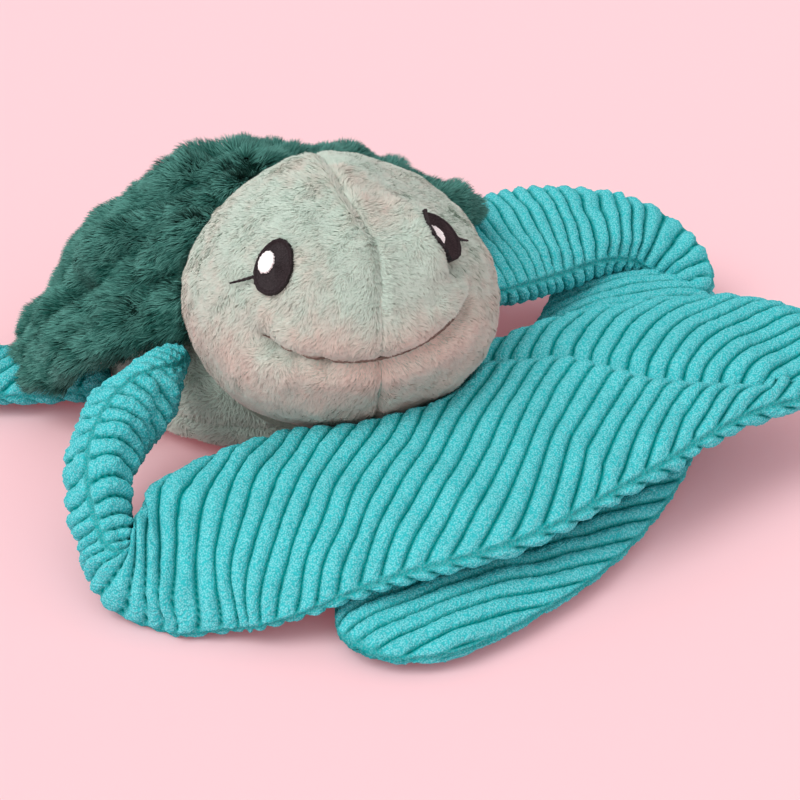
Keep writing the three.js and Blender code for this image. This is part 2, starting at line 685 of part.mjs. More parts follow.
// Shell: a scalloped cover of long pile over a quilted pad, sewn on the back
const bodyRoom = bodySolid(-GAP, FINE_BODY);
const shellHollow = shellSolid(SHELL_PILE, SHELL_PILE, PLAIN_SHELL, false)
  .subtract(roomForHead(SHELL_PILE));
const shellCover = shellSolid(0, 0, FINE_SHELL, true).subtract(room).subtract(shellHollow);
const swingRoom = roomForSwing(limbs.rightUpper, SWING_GAP, OPENS_RIGHT, RIGHT_SWING)
  .add(roomForSwing(limbs.leftUpper, SWING_GAP, OPENS_LEFT, LEFT_SWING));
addPiece('shell_cover', shellCover.subtract(bodyRoom).subtract(swingRoom), DARK_GREEN, 1);
const shellPad = shellSolid(SHELL_PILE + GAP, 0, PLAIN_SHELL, false)
  .subtract(roomForHead(SHELL_PILE + GAP))
  .subtract(roomForLimbs(GAP));
addPiece('shell_padding', shellPad.subtract(bodyRoom).subtract(swingRoom), FIBRE, 1);

// Flippers
const flippers = {
  right_upper_flipper: flipperSolids(limbs.rightUpper, elbowRoom(limbs.rightBlade, OPENS_RIGHT)),
  right_blade: flipperSolids(limbs.rightBlade, roomForChin()),
  left_upper_flipper: flipperSolids(limbs.leftUpper, elbowRoom(limbs.leftBlade, OPENS_LEFT)),
  left_blade: flipperSolids(limbs.leftBlade, below(0)),
  right_rear_flipper: flipperSolids(limbs.rightRear, null),
  left_rear_flipper: flipperSolids(limbs.leftRear, null),
};
for (const [name, solids] of Object.entries(flippers)) {
  addPiece(`${name}_top`, solids.top_panel, TURQUOISE, 0.95);
  addPiece(`${name}_bottom`, solids.bottom_panel, TURQUOISE, 0.95);
  addPiece(`${name}_filling`, solids.filling, FIBRE, 1);
}

export default turtle;
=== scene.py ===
"""Dresses the weighted plush sea turtle: short sage plush, long green pile and ribbed corduroy.

Sizes inside the functions are in millimetres, in the frame of the CAD model, and every mesh is
scaled to metres when it is made.
"""
import math

import bpy
import numpy as np
from bpy.props import FloatProperty, FloatVectorProperty, IntProperty, PointerProperty
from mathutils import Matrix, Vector


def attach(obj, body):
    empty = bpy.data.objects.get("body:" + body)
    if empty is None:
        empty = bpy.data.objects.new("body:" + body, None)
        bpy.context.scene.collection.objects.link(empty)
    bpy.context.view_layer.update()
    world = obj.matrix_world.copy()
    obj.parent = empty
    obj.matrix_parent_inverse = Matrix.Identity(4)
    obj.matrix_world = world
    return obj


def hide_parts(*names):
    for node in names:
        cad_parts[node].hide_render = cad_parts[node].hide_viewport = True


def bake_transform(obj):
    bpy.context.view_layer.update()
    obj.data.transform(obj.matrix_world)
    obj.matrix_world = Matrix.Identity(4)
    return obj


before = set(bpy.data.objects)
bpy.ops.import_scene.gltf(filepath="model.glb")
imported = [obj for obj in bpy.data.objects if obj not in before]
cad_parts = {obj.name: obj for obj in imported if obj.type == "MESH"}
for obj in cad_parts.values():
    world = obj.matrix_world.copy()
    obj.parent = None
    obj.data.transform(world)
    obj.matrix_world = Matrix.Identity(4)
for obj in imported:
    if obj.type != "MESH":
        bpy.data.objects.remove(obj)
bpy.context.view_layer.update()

bl_info = {
    "name": "Plush sea turtle",
    "version": (1, 0, 0),
    "blender": (4, 5, 0),
    "location": "3D View > Sidebar > Turtle",
    "description": "Makes the covers, pile, ribs and stitching of a weighted plush sea turtle",
    "category": "Object",
}

# Places and sizes that the covers share with the solids inside them
HEAD_SIZE = (133, 124, 112)
HEAD_AT = np.array([-6.0, -90.0, 86.0])
HEAD_YAW, HEAD_ROLL = -12, -4
NAPE_RADIUS = 61
NAPE_SEAT = 68
NAPE_AIM = np.array([0, 0.85, -0.5]) / math.hypot(0.85, 0.5)
EYE_WIDTH, EYE_HEIGHT = 17.4, 24.5
EYE_SIDE, EYE_LEVEL = 43.3, 34.7
GLINT_WIDTH, GLINT_HEIGHT = 6.6, 9.6
GLINT_SHIFT = -3.5
LASH_DROP, LASH_LENGTH = 6, 9.0
SMILE_REACH = 45
# The brow over the left eye: half width and half height in degrees, the side of the eye where it
# stands highest in degrees round it, its crest as a share of the eye's size, and its height
BROW_WIDE, BROW_HIGH = 8.05, 11.3
BROW_TURN = 158
BROW_CREST = 1.05
BROW_LIFT = 8.0
BODY_SIZE = (144, 178, 62)
BODY_AT = (0, 14)
BODY_SEAM = 20
BODY_MIDDLE = np.array([0, 14, 25.0])
# The neck's band in section: degrees from the nape's middle, and distance from the head's
NECK_PROFILE = [(18.5, 62), (22, 61.6), (27, 62), (27, 66.8), (22, 67.2), (18.5, 66.8)]
SHELL_SIZE = (228, 190, 110)
SHELL_AT = (0, 16)
RIDGE_PITCH = 27
SHELL_SPANS = 420  # points round the shell
# Where the shell's stuffing swells or sinks: place, width and height
SHELL_PUFFS = [
    (-103, 8, 40, 20, 6), (-67, 15, 77, 17, 8), (-25, 27, 100, 22, 7), (-42, -9, 95, 16, 5),
    (-88, -22, 58, 17, 6), (-84, 14, 60, 10, -12), (-47, 24, 91, 10, -12), (-59, -32, 82, 9, -4),
    (-74, -38, 70, 9, -5), (-97, -26, 48, 8, -5), (50, 12, 97, 17, -9), (64, -6, 94, 15, -10),
    (82, -24, 88, 12, 6), (95, -34, 80, 9, -5), (103, 8, 62, 22, 4), (67, 40, 84, 20, 5),
    (0, 60, 98, 24, 4), (-60, 66, 62, 22, 4), (60, 72, 62, 22, 4), (0, 100, 40, 22, 3),
    (30, 40, 100, 10, -5), (-20, 62, 88, 10, -6), (40, 78, 66, 10, -6), (-84, 56, 44, 10, -6),
]
# The furrow between the shell's outer and inner rows of tufts
SHELL_FURROW = np.array([(-8, 26, 104), (-42, 5, 94), (-69, -9, 77), (-84, 12, 59)], float)

# Flippers: place on the middle line, half width, half thickness, roll, and the lean of the ribs
RIGHT_ARM = [
    (-62, -48, 52, 6, 6, 20, 0),
    (-89, -71, 49, 16, 14, 40, 0),
    (-112, -92, 43, 22, 15, 60, 3),
    (-126, -113, 34, 20, 12.5, 76, 6),
    (-131, -133, 23, 16, 11.5, 80, 9),
    (-131, -149, 16, 14, 11.5, 62, 16),
    (-117, -154.5, 17, 29, 12, 30, 24),
    (-96, -157, 23, 42, 12, 20, 28),
    (-74, -161.5, 28, 47, 12, 16, 32),
    (-48, -166.5, 33, 50, 12, 11, 37),
    (-2, -171, 39, 55, 12, 9, 46),
    (45, -163, 43, 56, 12, 7, 51),
    (95, -153, 47, 54, 12, 7, 53),
    (141, -153, 48, 46, 12, 8, 57),
    (200, -166, 44, 36, 11, 8, 62),
]
LEFT_UPPER = [
    (62, -47, 52, 9, 9, 0, -20),
    (92, -27, 48, 28, 13, 14, -28),
    (124, -8, 46, 34, 13, 19, -30),
    (156, 2, 43, 31, 13, 23, -18),
    (184, 1, 39, 25, 13, 27, -2),
    (204, -8, 33, 19, 12, 31, 8),
    (214, -26, 24, 14, 10.5, 34, 8),
    (211, -45, 15, 10, 9, 30, 6),
]
LEFT_BLADE = [
    (215, 1, 13, 33, 12, 0, 30),
    (183, -31, 13, 40, 12, 0, 35),
    (138, -84, 12, 44, 12, 0, 45),
    (86, -147, 11, 41, 11, 0, 55),
    (30, -185, 9, 41, 9, 0, 62),
    (-18, -207, 9, 37, 9, 0, 70),
    (-68, -226, 8, 28, 8, 0, 75),
]
RIGHT_REAR = [
    (-73, 13, 13, 9, 9, 0, 10),
    (-99, 31, 12, 18, 9, 0, 20),
    (-126, 53, 12, 23, 10, 0, 35),
    (-164, 88, 11, 18, 9, 0, 50),
]
LEFT_REAR = [(-x, y, z, wide, thick, -roll, lean) for x, y, z, wide, thick, roll, lean in RIGHT_REAR]
# The fold across the top of the right blade, where its far half sinks behind its near half
BLADE_FOLD = np.array(
    [(43, -124), (59, -129), (75, -135), (86, -149), (100, -164), (118, -176), (143, -184)], float
)
# From one row of points to the next on the flippers' covers
SKIN_STEP = 0.85

# The camera: what it looks at and how far away, in metres, and from where, in degrees
CAMERA_TARGET = (0.011, -0.111, 0.040)
CAMERA_AWAY = 0.94
CAMERA_AZIMUTH, CAMERA_ELEVATION = -28, 28


def linear(red, green, blue):
    """A screen colour from 0 to 255 as the linear colour that a shader takes."""
    shares = [value / 255 for value in (red, green, blue)]
    return tuple(v / 12.92 if v <= 0.04045 else ((v + 0.055) / 1.055) ** 2.4 for v in shares) + (1.0,)


# Settings

def colour(name, description, default):
    return FloatVectorProperty(
        name=name, description=description, default=default, subtype="COLOR", size=4, min=0, max=1,
    )


def length(name, description, millimetres):
    return FloatProperty(
        name=name, description=description, default=millimetres / 1000, min=0,
        unit="LENGTH", subtype="DISTANCE",
    )


def strength(name, description, default):
    return FloatProperty(name=name, description=description, default=default, min=0)


class PlushSettings(bpy.types.PropertyGroup):
    pile: length("Pile", "Length of the short plush on head and body", 3.1)
    strands: IntProperty(name="Strands", description="Fibres on the head", default=260000, min=1000)
    green_tip: colour("Green tip", "Fibre tips on the forehead and the body", linear(212, 230, 217))
    green_root: colour("Green root", "Fibre roots on the forehead and the body", linear(192, 214, 201))
    # The warm colours are partly the plush's own beige and partly painted pink reflection from the floor.
    warm_tip: colour("Warm tip", "Fibre tips on the chin and the muzzle", linear(228, 210, 198))
    warm_root: colour("Warm root", "Fibre roots on the chin and the muzzle", linear(212, 193, 181))


class ShellSettings(bpy.types.PropertyGroup):
    pile: length("Pile", "Length of the long pile on the shell", 6.6)
    strands: IntProperty(name="Strands", description="Fibres on the shell", default=210000, min=1000)
    tip: colour("Tip", "Fibre tips", linear(98, 164, 152))
    # The deep tips are painted shade, for the fibres that lie in the grooves between the scallops.
    painted_shade_tip: colour("Deep tip", "Fibre tips between the scallops", linear(18, 84, 74))
    root: colour("Root", "Fibre roots", linear(8, 64, 55))


class CorduroySettings(bpy.types.PropertyGroup):
    pitch: length("Rib pitch", "From one rib of the corduroy to the next", 8)
    depth: length("Rib depth", "From the crest of a rib to the bottom of its groove", 2.6)
    # The frosted crests are partly the nap's own light tips and partly painted highlight on the tops of the
    # ribs.
    crest: colour("Crest", "Frosted tips of the nap on the ribs", linear(140, 240, 246))
    nap: colour("Nap", "Between the frosted tips of the nap", linear(62, 206, 212))
    groove: colour("Groove", "Ground weave between the ribs", linear(0, 146, 144))


class EyeSettings(bpy.types.PropertyGroup):
    thread: length("Thread", "Thickness of an embroidery thread", 0.6)
    black: colour("Black", "Thread of the eyes and lashes", linear(22, 18, 20))
    white: colour("White", "Thread of the glints", linear(246, 246, 244))


class StageSettings(bpy.types.PropertyGroup):
    floor: colour("Floor", "Colour of the floor", linear(253, 208, 213))
    background: colour("Background", "Colour behind the floor", linear(255, 213, 218))
    sun: strength("Key light", "Strength of the soft key light", 1.25)
    fill: strength("Fill light", "Strength of the wide light from the front left", 0.95)
    sky: strength("Even light", "Strength of the light all round", 0.66)


# Numbers

def smooth(low, high, value):
    share = np.clip((value - low) / (high - low), 0, 1)
    return share * share * (3 - 2 * share)


def bump(value, width):
    return np.exp(-((value / width) ** 2))


def unit(vectors):
    return vectors / np.maximum(np.linalg.norm(vectors, axis=-1, keepdims=True), 1e-9)


def flattened(ways, normals):
    """The ways, without what they have along the normals."""
    return ways - (ways * normals).sum(1, keepdims=True) * normals


def waves(points, size, seed, count=18):
    """A smooth, repeatable unevenness with features about size across, of about unit height."""
    rng = np.random.default_rng(seed)
    ways = unit(rng.normal(size=(count, 3))) * rng.uniform(0.6, 1.6, (count, 1)) * 2 * math.pi / (2 * size)
    shifts = rng.uniform(0, 2 * math.pi, count)
    total = np.zeros(len(points))
    for way, shift in zip(ways, shifts):
        total += np.sin(points @ way + shift)
    return total / math.sqrt(count / 2)


def stray(points, size, seed):
    """Three such unevennesses as one vector at each point."""
    return np.stack([waves(points, size, seed + k) for k in range(3)], 1)


def rotation(axis, degrees):
    c, s = math.cos(math.radians(degrees)), math.sin(math.radians(degrees))
    if axis == "y":
        return np.array([[c, 0, s], [0, 1, 0], [-s, 0, c]])
    return np.array([[c, -s, 0], [s, c, 0], [0, 0, 1]])


HEAD_TURN = rotation("z", HEAD_YAW) @ rotation("y", HEAD_ROLL)


# Meshes

def grid_faces(rows, columns, closed=False):
    """Triangles of a grid of points, row by row. A closed grid joins its last column to its first."""
    i, j = np.meshgrid(np.arange(rows - 1), np.arange(columns if closed else columns - 1), indexing="ij")
    a, b = (i * columns + j).ravel(), (i * columns + (j + 1) % columns).ravel()
    return np.concatenate([np.stack([a, b, b + columns], 1), np.stack([a, b + columns, a + columns], 1)])


def grid_uv(rows, columns):
    """A UV map that lays a grid of points out over the whole square."""
    down, along = np.linspace(0, 1, rows), np.linspace(0, 1, columns)
    return np.stack([np.repeat(down, columns), np.tile(along, rows)], 1)


def face_normals(points, faces):
    corners = points[faces]
    return np.cross(corners[:, 1] - corners[:, 0], corners[:, 2] - corners[:, 0])


def looks_inward(points, faces, middle):
    return ((points[faces].mean(1) - middle) * face_normals(points, faces)).sum() < 0


def outward(points, faces, middle):
    """The faces, turned so that they look away from the middle."""
    return faces[:, ::-1] if looks_inward(points, faces, middle) else faces


def normals_of(points, faces):
    normals = face_normals(points, faces)
    total = np.zeros_like(points)
    for k in range(3):
        np.add.at(total, faces[:, k], normals)
    return unit(total)


def make_piece(name, points, faces, material, uv=None, normals=None, **attributes):
    """A mesh object from points in millimetres and triangles."""
    mesh = bpy.data.meshes.new(name)
    faces = np.ascontiguousarray(faces, np.int32)
    mesh.vertices.add(len(points))
    mesh.vertices.foreach_set("co", (np.asarray(points) / 1000).astype(np.float32).ravel())
    mesh.loops.add(faces.size)
    mesh.loops.foreach_set("vertex_index", faces.ravel())
    mesh.polygons.add(len(faces))
    mesh.polygons.foreach_set("loop_start", np.arange(0, faces.size, 3, dtype=np.int32))
    mesh.update(calc_edges=True)
    mesh.shade_smooth()
    if uv is not None:
        layer = mesh.uv_layers.new(name="OFBake")
        layer.data.foreach_set("uv", np.asarray(uv, np.float32)[faces.ravel()].ravel())
    for key, values in attributes.items():
        values = np.asarray(values, np.float32)
        kind, field = ("FLOAT", "value") if values.ndim == 1 else ("FLOAT_VECTOR", "vector")
        mesh.attributes.new(key, kind, "POINT").data.foreach_set(field, values.ravel())
    if normals is not None:
        mesh.normals_split_custom_set_from_vertices(normals.astype(np.float32))
    mesh.materials.append(material)
    piece = bpy.data.objects.new(name, mesh)
    bpy.context.scene.collection.objects.link(piece)
    return piece


def scatter(points, faces, normals, count, seed):
    """Random places on a skin with its normal at each."""
    rng = np.random.default_rng(seed)
    a, b, c = (points[faces[:, k]] for k in range(3))
    areas = np.linalg.norm(np.cross(b - a, c - a), axis=1)
    pick = rng.choice(len(faces), count, p=areas / areas.sum())
    u, v = rng.random((2, count, 1))
    flip = u + v > 1
    u, v = np.where(flip, 1 - u, u), np.where(flip, 1 - v, v)
    w = 1 - u - v
    chosen = faces[pick]
    places = points[chosen[:, 0]] * w + points[chosen[:, 1]] * u + points[chosen[:, 2]] * v
    return places, unit(normals[chosen[:, 0]] * w + normals[chosen[:, 1]] * u + normals[chosen[:, 2]] * v)


def strands(roots, normals, lay, lengths, widths, rise, fall, segments, seed):
    """Flat tapering fibres that leave the skin at the angle rise and lean over to the angle fall,
    in degrees from the skin's normal, towards lay. Gives points, faces, normals and the share
    along each fibre."""
    rng = np.random.default_rng(seed)
    count = len(roots)
    lay = unit(flattened(lay, normals))
    twist = rng.normal(0, 0.55, (count, 1))
    place = roots.copy()
    rows, facing, shares = [], [], []
    for k in range(segments + 1):
        share = k / segments
        angle = np.radians(rise + (fall - rise) * share)
        way = unit(np.cos(angle)[:, None] * normals + np.sin(angle)[:, None] * lay)
        front = unit(flattened(normals, way))
        across = np.cross(way, front)
        front = np.cos(twist) * front + np.sin(twist) * across
        across = np.cross(way, front)
        half = widths[:, None] * (0.5 - 0.18 * share)
        if k < segments:
            rows += [place - across * half, place + across * half]
            facing += [front, front]
            shares += [share, share]
            place = place + way * (lengths / segments)[:, None]
        else:
            rows.append(place)
            facing.append(front)
            shares.append(1)
    per = 2 * segments + 1
    points = np.stack(rows, 1).reshape(-1, 3)
    shading = unit(0.75 * np.repeat(normals, per, 0) + 0.25 * np.stack(facing, 1).reshape(-1, 3))
    pattern = []
    for k in range(segments - 1):
        a = 2 * k
        pattern += [(a, a + 1, a + 3), (a, a + 3, a + 2)]
    pattern.append((per - 3, per - 2, per - 1))
    faces = (np.arange(count)[:, None, None] * per + np.array(pattern)[None]).reshape(-1, 3)
    return points, faces, shading, np.tile(shares, count)


def pile(name, material, body, roots, normals, lay, lengths, widths, rise, fall, segments, tint, seed, slot):
    """One patch of fibres as a piece, with its tint and its length along the fibre as its UV map."""
    points, faces, shading, along = strands(roots, normals, lay, lengths, widths, rise, fall, segments, seed)
    per = 2 * segments + 1
    across = np.tile([-1.0, 1.0] * segments + [0.0], len(roots))
    uv = np.stack([np.clip(np.repeat(tint, per), 0.01, 0.99) + 0.004 * across, 0.01 + 0.98 * along], 1)
    piece = make_piece(name, points, faces, material, uv=uv, normals=shading)
    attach(piece, body)


# Materials

def node(tree, kind, settings=None, **inputs):
    made = tree.nodes.new(kind)
    for key, value in (settings or {}).items():
        setattr(made, key, value)
    for key, value in inputs.items():
        made.inputs[key.replace("_", " ")].default_value = value
    return made


def ramp(tree, source, stops):
    made = tree.nodes.new("ShaderNodeValToRGB")
    tree.links.new(source, made.inputs["Fac"])
    elements = made.color_ramp.elements
    while len(elements) < len(stops):
        elements.new(0.5)
    for element, (place, value) in zip(elements, stops):
        element.position = place
        element.color = value
    return made.outputs["Color"]


def grey(value):
    return (value, value, value, 1)


def mixed(tree, kind, share, first, second):
    """Mix of two colours. Share is a number or an output, and so are the colours."""
    made = tree.nodes.new("ShaderNodeMix")
    made.data_type = "RGBA"
    made.blend_type = kind
    for name, value in (("Factor_Float", share), ("A_Color", first), ("B_Color", second)):
        socket = next(s for s in made.inputs if s.identifier == name)
        if isinstance(value, bpy.types.NodeSocket):
            tree.links.new(value, socket)
        else:
            socket.default_value = value
    return next(s for s in made.outputs if s.identifier == "Result_Color")


def finish_material(name, roughness, sheen=0.0):
    material = bpy.data.materials.new(name)
    material.use_nodes = True
    tree = material.node_tree
    shader = tree.nodes["Principled BSDF"]
    shader.inputs["Roughness"].default_value = roughness
    shader.inputs["Specular IOR Level"].default_value = 0.2
    shader.inputs["Sheen Weight"].default_value = sheen
    shader.inputs["Sheen Roughness"].default_value = 0.6
    return material, tree, shader


def bumped(tree, shader, height, strength, distance):
    made = node(tree, "ShaderNodeBump", Strength=strength, Distance=distance)
    tree.links.new(height, made.inputs["Height"])
    tree.links.new(made.outputs["Normal"], shader.inputs["Normal"])


def noise(tree, vector, scale, detail=2.0, roughness=0.6):
    made = node(tree, "ShaderNodeTexNoise", Scale=scale, Detail=detail, Roughness=roughness)
    tree.links.new(vector, made.inputs["Vector"])
    return made.outputs["Fac"]


def fibre_material(name, tips, roots, root_share, sheen=0.1):
    """Fibres shaded from root to tip, in a tint that the UV map gives for each."""
    material, tree, shader = finish_material(name, 0.9, sheen)
    shader.inputs["Specular IOR Level"].default_value = 0.1
    place = node(tree, "ShaderNodeUVMap", {"uv_map": "OFBake"})
    parts = tree.nodes.new("ShaderNodeSeparateXYZ")
    tree.links.new(place.outputs["UV"], parts.inputs["Vector"])
    tip = ramp(tree, parts.outputs["X"], tips)
    root = ramp(tree, parts.outputs["X"], roots)
    along = ramp(tree, parts.outputs["Y"], [(0.0, grey(root_share)), (0.75, grey(1.0))])
    whole = mixed(tree, "MIX", along, root, tip)
    spot = tree.nodes.new("ShaderNodeTexCoord").outputs["Object"]
    patches = ramp(tree, noise(tree, spot, 160.0, 3.0), [(0.3, grey(0.93)), (0.7, grey(1.0))])
    tree.links.new(mixed(tree, "MULTIPLY", 1.0, whole, patches), shader.inputs["Base Color"])
    return material


def sage_fibres(name, settings, root_share):
    return fibre_material(
        name,
        [(0.05, tuple(settings.green_tip)), (0.95, tuple(settings.warm_tip))],
        [(0.05, tuple(settings.green_root)), (0.95, tuple(settings.warm_root))],
        root_share,
    )


def backing_material(name, low, high):
    """The knitted ground that the fibres stand on."""
    material, tree, shader = finish_material(name, 0.95)
    spot = tree.nodes.new("ShaderNodeTexCoord").outputs["Object"]
    grain = noise(tree, spot, 900.0)
    tree.links.new(ramp(tree, grain, [(0.3, low), (0.7, high)]), shader.inputs["Base Color"])
    bumped(tree, shader, grain, 0.6, 0.0005)
    return material


def corduroy_material(settings):
    material, tree, shader = finish_material("ribbed_corduroy", 0.95)
    shader.inputs["Specular IOR Level"].default_value = 0.0
    rib = node(tree, "ShaderNodeAttribute", {"attribute_name": "rib"}).outputs["Fac"]
    cloth = node(tree, "ShaderNodeAttribute", {"attribute_name": "cloth"}).outputs["Vector"]
    crest, groove = tuple(settings.crest), tuple(settings.groove)
    spot = tree.nodes.new("ShaderNodeTexCoord").outputs["Object"]
    tufts = node(tree, "ShaderNodeTexVoronoi", Scale=1250.0)
    tree.links.new(spot, tufts.inputs["Vector"])
    nap = tufts.outputs["Distance"]
    fine = noise(tree, spot, 1800.0, 3.0, 0.75)
    patches = noise(tree, cloth, 0.05)
    # The frosted speckle on the crests is partly the nap's own light tips and partly painted highlight.
    frost_and_highlight = ramp(tree, nap, [(0.2, crest), (0.7, tuple(settings.nap))])
    body = mixed(tree, "MIX", ramp(tree, rib, [(0.14, grey(0)), (0.62, grey(1))]), groove, frost_and_highlight)
    flecked = mixed(tree, "MULTIPLY", 1.0, body, ramp(tree, fine, [(0.32, grey(0.84)), (0.64, grey(1.0))]))
    whole = mixed(tree, "MULTIPLY", 1.0, flecked, ramp(tree, patches, [(0.3, grey(0.95)), (0.7, grey(1.03))]))
    tree.links.new(whole, shader.inputs["Base Color"])
    high_tufts = ramp(tree, nap, [(0.1, grey(1)), (0.8, grey(0))])
    high_grain = ramp(tree, fine, [(0.2, grey(0)), (0.8, grey(1))])
    bumped(tree, shader, mixed(tree, "MIX", 0.4, high_tufts, high_grain), 0.8, 0.0009)
    return material


def thread_material(name, base, light):
    """Embroidery thread, with its twist and a soft gloss."""
    material, tree, shader = finish_material(name, 0.55)
    shader.inputs["Specular IOR Level"].default_value = 0.22
    spot = tree.nodes.new("ShaderNodeTexCoord").outputs["Object"]
    grain = noise(tree, spot, 1500.0)
    tree.links.new(ramp(tree, grain, [(0.35, base), (0.75, light)]), shader.inputs["Base Color"])
    bumped(tree, shader, grain, 0.5, 0.0003)
    return material


# Head

def side_of(aim):
    """Degrees from the middle of the face to directions in the head's own frame, to its left above 0."""
    return np.degrees(np.arctan2(aim[:, 0], -aim[:, 1]))


def level_of(aim):
    """Degrees that directions rise above the middle of the head."""
    return np.degrees(np.arcsin(np.clip(aim[:, 2], -1, 1)))


def head_degrees(millimetres):
    """A length on the head's skin as degrees round its middle."""
    return np.degrees(2 * millimetres / HEAD_SIZE[1])


def head_radius(aim):
    """Distance from the middle of the head to its skin, along directions in the head's own frame."""
    oval = 1 / np.sqrt(sum((aim[:, k] / (HEAD_SIZE[k] / 2)) ** 2 for k in range(3)))
    side, level = side_of(aim), level_of(aim)
    facing = smooth(0, 0.35, -aim[:, 1])
    cheeks = 4 * bump(np.abs(side) - 44, 26) * bump(level + 16, 20)
    muzzle = 4 * bump(side, 34) * bump(level - 6, 22)
    smile = level - smile_level(side)
    corner = 1 - smooth(40, 49, np.abs(side))
    crease = -4.4 * bump(smile, 3.6) * corner
    lip = 1.8 * bump(smile - 7, 6) * corner + 0.8 * bump(smile + 8, 6) * corner
    dimple = -2.4 * bump(np.abs(side) - 44, 4) * bump(smile, 5)
    # Where the stitch pulls the pile in along the right half of the mouth
    for place in (-39, -31, -20):
        dimple = dimple - 2.6 * bump(side - place, 2.2) * bump(smile + 0.5, 2.6)
    bridge = 2.0 * bump(side, 15) * bump(level - 32, 20) + BROW_LIFT * left_brow(side, level)
    bridge = bridge + 0.8 * bump(side + 27, 7) * bump(level - 33, 14)
    bridge = bridge - 1.2 * bump(np.abs(side) - 58, 12) * bump(level - 32, 15)
    socket = -2.4 * bump(eye_share(side, level), 1.3) * (side < 0)
    socket = socket + 4.6 * bump(side - 50, 13) * bump(level - 37, 13)
    face = oval + facing * (cheeks + muzzle + crease + lip + dimple + bridge + socket)
    # The filling sits a little high in the crown and leaves the left temple slack.
    crown = 3.5 * bump(apart(aim, (-0.05, 0.05, 1.0)), 34)
    temple = -7.0 * bump(apart(aim, (0.66, -0.18, 0.71)), 30)
    face = face + crown + temple
    nape = smooth(0.35, 0.75, aim @ (HEAD_TURN.T @ NAPE_AIM))
    return face * (1 - nape) + NAPE_RADIUS * nape


def apart(aim, way):
    """Degrees between directions and one way."""
    return np.degrees(np.arccos(np.clip(aim @ unit(np.array(way)), -1, 1)))


def left_brow(side, level):
    """The puffed cloth beside the left eye, which hides half of it from the front, 1 at its highest."""
    across = (side - EYE_SIDE) * math.cos(math.radians(EYE_LEVEL)) / BROW_WIDE
    above = (level - EYE_LEVEL) / BROW_HIGH
    share = np.hypot(across, above)
    turned = np.degrees(np.arctan2(above, across))
    away = np.abs((turned - BROW_TURN + 180) % 360 - 180)
    ring = np.where(share < BROW_CREST, bump(share - BROW_CREST, 0.24), bump(share - BROW_CREST, 1.2))
    return ring * smooth(100, 35, away)


def smile_level(side):
    """The level of the mouth at each side."""
    return -1.9 + 9.5 * (side / 44) ** 2


def seam_lean(aim):
    """How far the seam between the head's panels is drawn to the left over the forehead."""
    return 0.1 * bump(level_of(aim) - 40, 22) * (aim[:, 1] < 0)


def beyond_seam(aim):
    """Millimetres to the left of the seam between the head's panels."""
    return (aim[:, 0] - seam_lean(aim)) * (HEAD_SIZE[1] / 2)


def head_aim(side, level):
    side, level = np.radians(side), np.radians(level)
    return np.stack([np.cos(level) * np.sin(side), -np.cos(level) * np.cos(side), np.sin(level)], -1)


def on_head(aim, raised):
    return (aim * (head_radius(aim) + raised)[:, None]) @ HEAD_TURN.T + HEAD_AT


def head_places(places):
    """Directions to places from the middle of the head, in its own frame, and how far out they are."""
    inside = (places - HEAD_AT) @ HEAD_TURN
    away = np.linalg.norm(inside, axis=1)
    return inside / away[:, None], away


def clear_of_head(points, gap):
    """The points, pushed outwards where they would be nearer to the head's skin than the gap."""
    aim, away = head_places(points)
    needed = head_radius(aim) + gap
    short = np.maximum(needed - away, 0)
    return points + (aim @ HEAD_TURN.T) * short[:, None]


def clear_of_nape(points, seat):
    """The points, with those nearer to the middle of the head than its seat moved out onto the seat."""
    away = points - HEAD_AT
    far = np.linalg.norm(away, axis=1)
    near = far < seat
    points[near] = HEAD_AT + away[near] / far[near, None] * seat
    return points


def eye_share(side, level):
    """How far out a place is in its eye patch, 1 at the edge."""
    across = (np.abs(side) - EYE_SIDE) * np.cos(np.radians(EYE_LEVEL)) * math.radians(1) * HEAD_SIZE[1] / 2
    up = (level - EYE_LEVEL) * math.radians(1) * HEAD_SIZE[1] / 2
    return np.hypot(across / (EYE_WIDTH / 2), up / (EYE_HEIGHT / 2))


